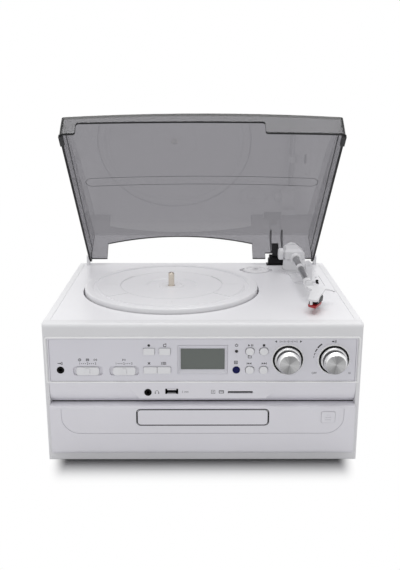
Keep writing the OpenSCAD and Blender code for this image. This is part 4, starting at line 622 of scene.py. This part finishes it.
# headphones, a direct-current sign with its number of volts, and the card's direction, in thin grey
socket_marks = bmesh.new()
ink_arc(socket_marks, -49.4, 84.5, 1.9, 0.5, -15, 210)
flat_bar(socket_marks, -51.2, 83.5, 1.1, 1.9)
flat_bar(socket_marks, -47.6, 83.5, 1.1, 1.9)
ink_digits(socket_marks, "5", -21.8, 84.8, 2.3)
flat_bar(socket_marks, -17.6, 85.3, 4.6, 0.5)
for dash in (-1.6, 0.0, 1.6):
    flat_bar(socket_marks, -17.6 + dash, 84.1, 1.1, 0.5)
ink_frame(socket_marks, 11.3, 84.9, 4.3, 4.3, 0.5)
ink_spot(socket_marks, 11.3, 84.9, 1.2, sides=3, turn=0)
print_on("socket_marks", socket_marks, tongue_face, grey_ink)

# The sockets in the tongue and at the plate's left end: black plastic bodies soldered to the boards
# behind. The speed switch's peg on the deck is of the same plastic.
socket_black = finish("socket_black", (0.002, 0.002, 0.002), 0.5, edge=0.0, shine=0.12)
dress(socket_black, "phone_jacks", "usb_port", "sd_socket", "speed_switch")

# The platter: cast white plastic with a satin face and raised sectors. Its sleeve turns on the
# spindle, and the belt runs round a ring on its underside.
platter_white = finish("platter_white", (0.855, 0.853, 0.872), 0.33, grain=1800.0)
dress(platter_white, "platter")

# Marks on the deck beside the arm: the number of turns at each place of the speed switch in grey, and
# the line of a seam and a small dimple, painted shade in grey. They are drawn in millimetres from above.
deck_marks = bmesh.new()
flat_bar(deck_marks, 153.5, 40.0, 0.5, 50.0)
ink_spot(deck_marks, 148.8, 56.7, 1.3)
for row, number in ((25.2, "33"), (31.6, "45"), (38.0, "78")):
    ink_digits(deck_marks, number, 138.6, row, 2.4)
ink_film(deck_marks)
bmesh.ops.transform(deck_marks, matrix=Matrix.Scale(0.001, 4), verts=deck_marks.verts)
for corner in deck_marks.verts:
    above = Vector((corner.co.x, corner.co.y, 0.3))
    met = nodes["top_deck"].ray_cast(above, Vector((0.0, 0.0, -1.0)))
    corner.co.z += met[1].z + ink_ahead
deck_grey_marks_and_shade = finish("deck_grey_marks_and_shade", (0.36, 0.36, 0.37), 0.6, grain=5200.0, depth=0.000002, edge=0.0)
add_piece("deck_marks", deck_marks, deck_grey_marks_and_shade, "cabinet")

# The spindle and the arm's tube: turned metal, polished and faintly warm on the spindle, satin on
# the tube. The spindle is pressed into the deck, and the tube is clamped between the arm's mouldings.
spindle_nickel = finish("spindle_nickel", (0.66, 0.60, 0.52), 0.22, grain=4000.0, metal=1.0)
dress(spindle_nickel, "spindle")
tube_satin = finish("tube_satin", (0.42, 0.42, 0.43), 0.34, grain=5200.0, metal=1.0)
dress(tube_satin, "arm_tube")

# The adapter for large-hole records: a loose disc moulded in white plastic, which lies in its cup on
# the deck.
adapter_white = finish("adapter_white", (0.83, 0.825, 0.84), 0.42)
dress(adapter_white, "adapter_45")

# The tonearm's turret, housing, collar and head shell: white mouldings, screwed together on the
# turned tube.
arm_white = finish("arm_white", (0.82, 0.82, 0.835), 0.34)
dress(arm_white, "arm_turret", "arm_housing", "arm_collar", "head_shell")

# The cartridge under the head shell: a black plastic body with a recess at its front, and the
# stylus in its red guard, which clips on from below. Both are wedges that taper downward.
def wedge(name, plan, low, high, taper, material, stands_for):
    """A moulded body from its plan, drawn in millimetres, from low to high and narrower below."""
    body = bmesh.new()
    base = body.faces.new([body.verts.new((x, y, low)) for x, y in plan])
    middle = base.calc_center_median()
    grown = bmesh.ops.extrude_face_region(body, geom=[base])
    lifted = [g for g in grown["geom"] if isinstance(g, bmesh.types.BMVert)]
    bmesh.ops.translate(body, verts=lifted, vec=(0.0, 0.0, high - low))
    bmesh.ops.recalc_face_normals(body, faces=body.faces)
    sole = [v for v in body.verts if v.co.z < low + 0.01]
    bmesh.ops.scale(body, vec=(taper, taper, 1.0), verts=sole, space=Matrix.Translation(-middle))
    bmesh.ops.bevel(
        body, geom=body.edges[:], offset=0.35, segments=2, profile=0.5, affect="EDGES", material=-1,
    )
    bmesh.ops.transform(body, matrix=Matrix.Scale(0.001, 4), verts=body.verts)
    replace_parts(add_piece(name, body, material, "tonearm"), stands_for)


cartridge_black = finish("cartridge_black", (0.010, 0.010, 0.011), 0.4, edge=0.0003, shine=0.25)
cartridge_plan = (
    (116.8, -96.4), (119.6, -97.6), (120.6, -94.6), (123.0, -95.6), (122.4, -98.6), (125.6, -100.4),
    (129.4, -94.6), (135.4, -80.6), (135.6, -72.0), (124.4, -72.6),
)
wedge("cartridge_body", cartridge_plan, 171.4, 176.4, 0.94, cartridge_black, "cartridge")
guard_red = finish("guard_red", (0.36, 0.010, 0.013), 0.3, edge=0.0003)
guard_plan = (
    (115.4, -99.4), (122.8, -107.2), (126.2, -101.6), (132.6, -88.6), (131.4, -80.0), (121.6, -82.0),
)
wedge("stylus_guard", guard_plan, 169.3, 172.3, 0.93, guard_red, "stylus")

# The dust cover: a thin moulding in clear smoke-grey plastic, glossy on both sides. Its walls take
# up light along their thickness, so its edges look nearly black; that darkness is painted shade, a
# black surface over the cut edges. It hangs on the hinge at the rear.
cover_open = radians(45.3)
hinge_pin = Vector((0.0, 0.131, 0.171))
smoke = bpy.data.materials.new("smoke")
smoke.use_nodes = True
smoke_tree = smoke.node_tree
smoke_end = smoke_tree.nodes["Material Output"]
smoke_shell = smoke_tree.nodes["Principled BSDF"]
smoke_shell.inputs["Base Color"].default_value = (0.40, 0.396, 0.413, 1.0)
smoke_shell.inputs["Transmission Weight"].default_value = 1.0
smoke_shell.inputs["IOR"].default_value = 1.49
smoke_place = smoke_tree.nodes.new("ShaderNodeTexCoord").outputs
smoke_gloss = stretch(smoke_tree, noise(smoke_tree, smoke_place["Object"], 40.0, 5.0), low=0.01, high=0.05)
smoke_tree.links.new(smoke_gloss, smoke_shell.inputs["Roughness"])
smoke_depth = smoke_tree.nodes.new("ShaderNodeVolumeAbsorption")
smoke_depth.inputs["Color"].default_value = (0.45, 0.44, 0.47, 1.0)
smoke_depth.inputs["Density"].default_value = 270.0
smoke_tree.links.new(smoke_depth.outputs[0], smoke_end.inputs["Volume"])
# places and directions on the cover are read as they are when it is closed
shut = smoke_tree.nodes.new("ShaderNodeMapping")
shut.inputs["Rotation"].default_value = (cover_open, 0.0, 0.0)
shut.inputs["Location"].default_value = hinge_pin - Matrix.Rotation(cover_open, 3, "X") @ hinge_pin
smoke_tree.links.new(smoke_place["Object"], shut.inputs["Vector"])
shut_place = smoke_tree.nodes.new("ShaderNodeSeparateXYZ")
smoke_tree.links.new(shut.outputs[0], shut_place.inputs[0])
shut_turn = smoke_tree.nodes.new("ShaderNodeMapping")
shut_turn.vector_type = "VECTOR"
shut_turn.inputs["Rotation"].default_value = (cover_open, 0.0, 0.0)
smoke_tree.links.new(smoke_place["Normal"], shut_turn.inputs["Vector"])
shut_normal = smoke_tree.nodes.new("ShaderNodeSeparateXYZ")
smoke_tree.links.new(shut_turn.outputs[0], shut_normal.inputs[0])


def smoke_sum(operation, *values):
    """One step of arithmetic between places on the cover."""
    return reckon(smoke_tree, "Math", operation, *values)


outward = smoke_sum("ABSOLUTE", shut_place.outputs["X"])
across = smoke_sum("ABSOLUTE", shut_normal.outputs["X"])
height = shut_place.outputs["Z"]
rim_height = 0.1646
step_height = 0.1812
rear_opening_height = 0.2045
rear_wall_y = 0.12
front_wall_y = -0.1288
side_wall_x = 0.146
# painted shade on the cut edges: the rim, the undersides of the openings, and the openings' and ribs'
# upright sides
rim_cut = smoke_sum("LESS_THAN", height, rim_height)
rear_wall = smoke_sum("GREATER_THAN", shut_place.outputs["Y"], rear_wall_y)
at_back = smoke_sum("MULTIPLY", rear_wall, smoke_sum("LESS_THAN", height, rear_opening_height))
low_cut = smoke_sum("MAXIMUM", smoke_sum("LESS_THAN", height, step_height + 0.0003), at_back)
under_cut = smoke_sum("MULTIPLY", smoke_sum("LESS_THAN", shut_normal.outputs["Z"], -0.4), low_cut)
between_walls = smoke_sum("LESS_THAN", outward, side_wall_x)
upright_cut = smoke_sum("MULTIPLY", smoke_sum("GREATER_THAN", across, 0.5), between_walls)
# painted shade on a step along the inside of both side walls
facing = smoke_sum("MULTIPLY", shut_place.outputs["X"], shut_normal.outputs["X"])
inner_side = smoke_sum("LESS_THAN", facing, -0.05)
step_line = smoke_sum("MULTIPLY", smoke_sum("COMPARE", height, step_height, 0.0011), inner_side)
# painted shade along the outer corner between the top and the front wall
round_edge = smoke_tree.nodes.new("ShaderNodeBevel")
round_edge.samples = 6
round_edge.inputs["Radius"].default_value = 0.0008
true_normal = smoke_tree.nodes.new("ShaderNodeNewGeometry").outputs["Normal"]
edge_match = reckon(smoke_tree, "VectorMath", "DOT_PRODUCT", round_edge.outputs[0], true_normal)
near_ends = smoke_sum("MAXIMUM", smoke_sum("LESS_THAN", shut_place.outputs["Y"], front_wall_y), at_back)
corner_line = smoke_sum("MULTIPLY", smoke_sum("LESS_THAN", edge_match, 0.985), near_ends)
painted_edge_shade = corner_line
for line in (rim_cut, under_cut, upright_cut, step_line):
    painted_edge_shade = smoke_sum("MAXIMUM", painted_edge_shade, line)
# the painted shade: a black surface laid over all these edges
painted_edge_black = smoke_tree.nodes.new("ShaderNodeBsdfPrincipled")
painted_edge_black.inputs["Base Color"].default_value = (0.012, 0.012, 0.013, 1.0)
painted_edge_black.inputs["Roughness"].default_value = 0.3
painted_edge_black.inputs["Specular IOR Level"].default_value = 0.2
smoke_edged = overlay(smoke_tree, painted_edge_shade, smoke_shell.outputs[0], painted_edge_black.outputs[0])
# light that falls through the cover comes out tinted, and lights the deck behind it
smoke_rays = smoke_tree.nodes.new("ShaderNodeLightPath").outputs
fallen_light = smoke_sum("MAXIMUM", smoke_rays["Is Shadow Ray"], smoke_rays["Is Diffuse Ray"])
smoke_clear = smoke_tree.nodes.new("ShaderNodeBsdfTransparent")
smoke_all = overlay(smoke_tree, fallen_light, smoke_edged, smoke_clear.outputs[0])
smoke_tree.links.new(smoke_all, smoke_end.inputs["Surface"])
# the polished top mirrors as one flat sheet, without the moulding's slight bow
flat_part = smoke_sum("GREATER_THAN", smoke_sum("ABSOLUTE", shut_normal.outputs["Z"]), 0.8)
which_side = smoke_sum("SIGN", shut_normal.outputs["Z"])
sheet_up = reckon(
    smoke_tree, "VectorMath", "MULTIPLY", (0.0, sin(cover_open), cos(cover_open)), which_side,
)
sheet_world = smoke_tree.nodes.new("ShaderNodeVectorTransform")
sheet_world.vector_type = "NORMAL"
sheet_world.convert_from = "OBJECT"
sheet_world.convert_to = "WORLD"
smoke_tree.links.new(sheet_up, sheet_world.inputs[0])
sheet_mix = smoke_tree.nodes.new("ShaderNodeMix")
sheet_mix.data_type = "VECTOR"
smoke_tree.links.new(flat_part, sheet_mix.inputs[0])
smoke_tree.links.new(true_normal, sheet_mix.inputs[4])
smoke_tree.links.new(sheet_world.outputs[0], sheet_mix.inputs[5])
smoke_tree.links.new(sheet_mix.outputs[1], smoke_shell.inputs["Normal"])
dress(smoke, "dust_cover")

# The cover's grip: a long low rib with round ends, moulded on the outside across its width. Only its
# edge is drawn, as a thin dark tube laid on the cover: painted shade along the rib's edge. The cover
# is drawn closed here and swung with its hinge.
to_pin = Matrix.Translation(hinge_pin)
swing = to_pin @ Matrix.Rotation(-cover_open, 4, "X") @ to_pin.inverted()
rib_end_radius = 0.0087
rib_reach = 0.1375
rib_edge = bmesh.new()
bmesh.ops.create_circle(rib_edge, segments=48, radius=rib_end_radius)
for corner in rib_edge.verts:
    corner.co.x += rib_reach if corner.co.x > 0 else -rib_reach
long_edges = [e for e in rib_edge.edges if e.calc_length() > 0.1]
bmesh.ops.subdivide_edges(rib_edge, edges=long_edges, cuts=40)
rib_edge.verts.ensure_lookup_table()
loop = [rib_edge.verts[0]]
while True:
    beside = [e.other_vert(loop[-1]) for e in loop[-1].link_edges]
    onward = [v for v in beside if v not in loop[-2:] + loop[:1]]
    if not onward:
        break
    loop.append(onward[0])
rib_line = bpy.data.curves.new("cover_rib", "CURVE")
rib_line.dimensions = "3D"
rib_line.bevel_depth = 0.00028
rib_line.bevel_resolution = 2
path = rib_line.splines.new("POLY")
path.use_cyclic_u = True
path.points.add(len(loop) - 1)
for point, corner in zip(path.points, loop):
    # the rib bows a little to the rear at its ends
    above = Vector((corner.co.x, corner.co.y - 0.0075 + 0.0052 * (corner.co.x / 0.141) ** 2, 0.3))
    met = nodes["dust_cover"].ray_cast(swing @ above, swing.to_3x3() @ Vector((0.0, 0.0, -1.0)))
    point.co = (*met[1], 1.0)
rib_edge.free()
rib_holder = bpy.data.objects.new("rib_holder", rib_line)
cover_rib = bpy.data.objects.new("cover_rib", bpy.data.meshes.new_from_object(rib_holder))
bpy.data.objects.remove(rib_holder)
bpy.context.scene.collection.objects.link(cover_rib)
rib_edge_shade = finish("rib_edge_shade", (0.05, 0.05, 0.055), 0.2, grain=900.0, depth=0.000004, edge=0.0)
cover_rib.data.materials.append(rib_edge_shade)
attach(cover_rib, "lid")

# The cover's rubber bumpers, its hinge leaf and the friction brace: black rubber, and black
# lacquered steel. A black plastic case with a flat base is screwed over the brace.
dress(foot_rubber, "lid_bumpers")
brace_black = finish("brace_black", (0.006, 0.006, 0.007), 0.4, edge=0.0, shine=0.2)
dress(brace_black, "friction_hinge", "hinge_leaf")
brace_case = bmesh.new()
case_place = Matrix.Translation((0.1035, 0.1275, 0.1668)) @ Matrix.Diagonal((0.0215, 0.009, 0.0088, 1.0))
bmesh.ops.create_cube(brace_case, size=1.0, matrix=case_place)
bmesh.ops.bevel(
    brace_case, geom=brace_case.edges[:], offset=0.0008, segments=2, profile=0.5, affect="EDGES",
    material=-1,
)
base_place = Matrix.Translation((0.1030, 0.1275, 0.1628)) @ Matrix.Diagonal((0.0250, 0.0125, 0.0012, 1.0))
bmesh.ops.create_cube(brace_case, size=1.0, matrix=base_place)
add_piece("brace_case", brace_case, brace_black, "cabinet")

# Inside: loudspeakers with paper cones, green circuit boards, a laminated transformer, the disc
# drive's steel and plastic, motor, belt and gear.
cone_black = finish("cone_black", (0.03, 0.03, 0.032), 0.8, grain=1600.0, depth=0.00006, shade=0.15)
dress(cone_black, "speakers")
board_green = finish("board_green", (0.02, 0.14, 0.06), 0.4, shade=0.15)
dress(board_green, "front_board", "main_board")
core_steel = finish("core_steel", (0.30, 0.29, 0.27), 0.5, metal=0.7, shade=0.1)
dress(core_steel, "power_transformer")
drive_grey = finish("drive_grey", (0.32, 0.32, 0.33), 0.5)
dress(drive_grey, "cd_drive_chassis")
tray_grey = finish("tray_grey", (0.58, 0.575, 0.59), 0.42)
dress(tray_grey, "cd_tray")
gear_white = finish("gear_white", (0.75, 0.74, 0.70), 0.4)
dress(gear_white, "tray_gear")
motor_steel = finish("motor_steel", (0.52, 0.52, 0.53), 0.35, metal=1.0)
dress(motor_steel, "motor")
pulley_brass = finish("pulley_brass", (0.62, 0.45, 0.18), 0.3, metal=1.0)
dress(pulley_brass, "motor_pulley")
belt_rubber = finish("belt_rubber", (0.02, 0.02, 0.02), 0.7)
dress(belt_rubber, "drive_belt")
dress(socket_black, "rear_sockets")
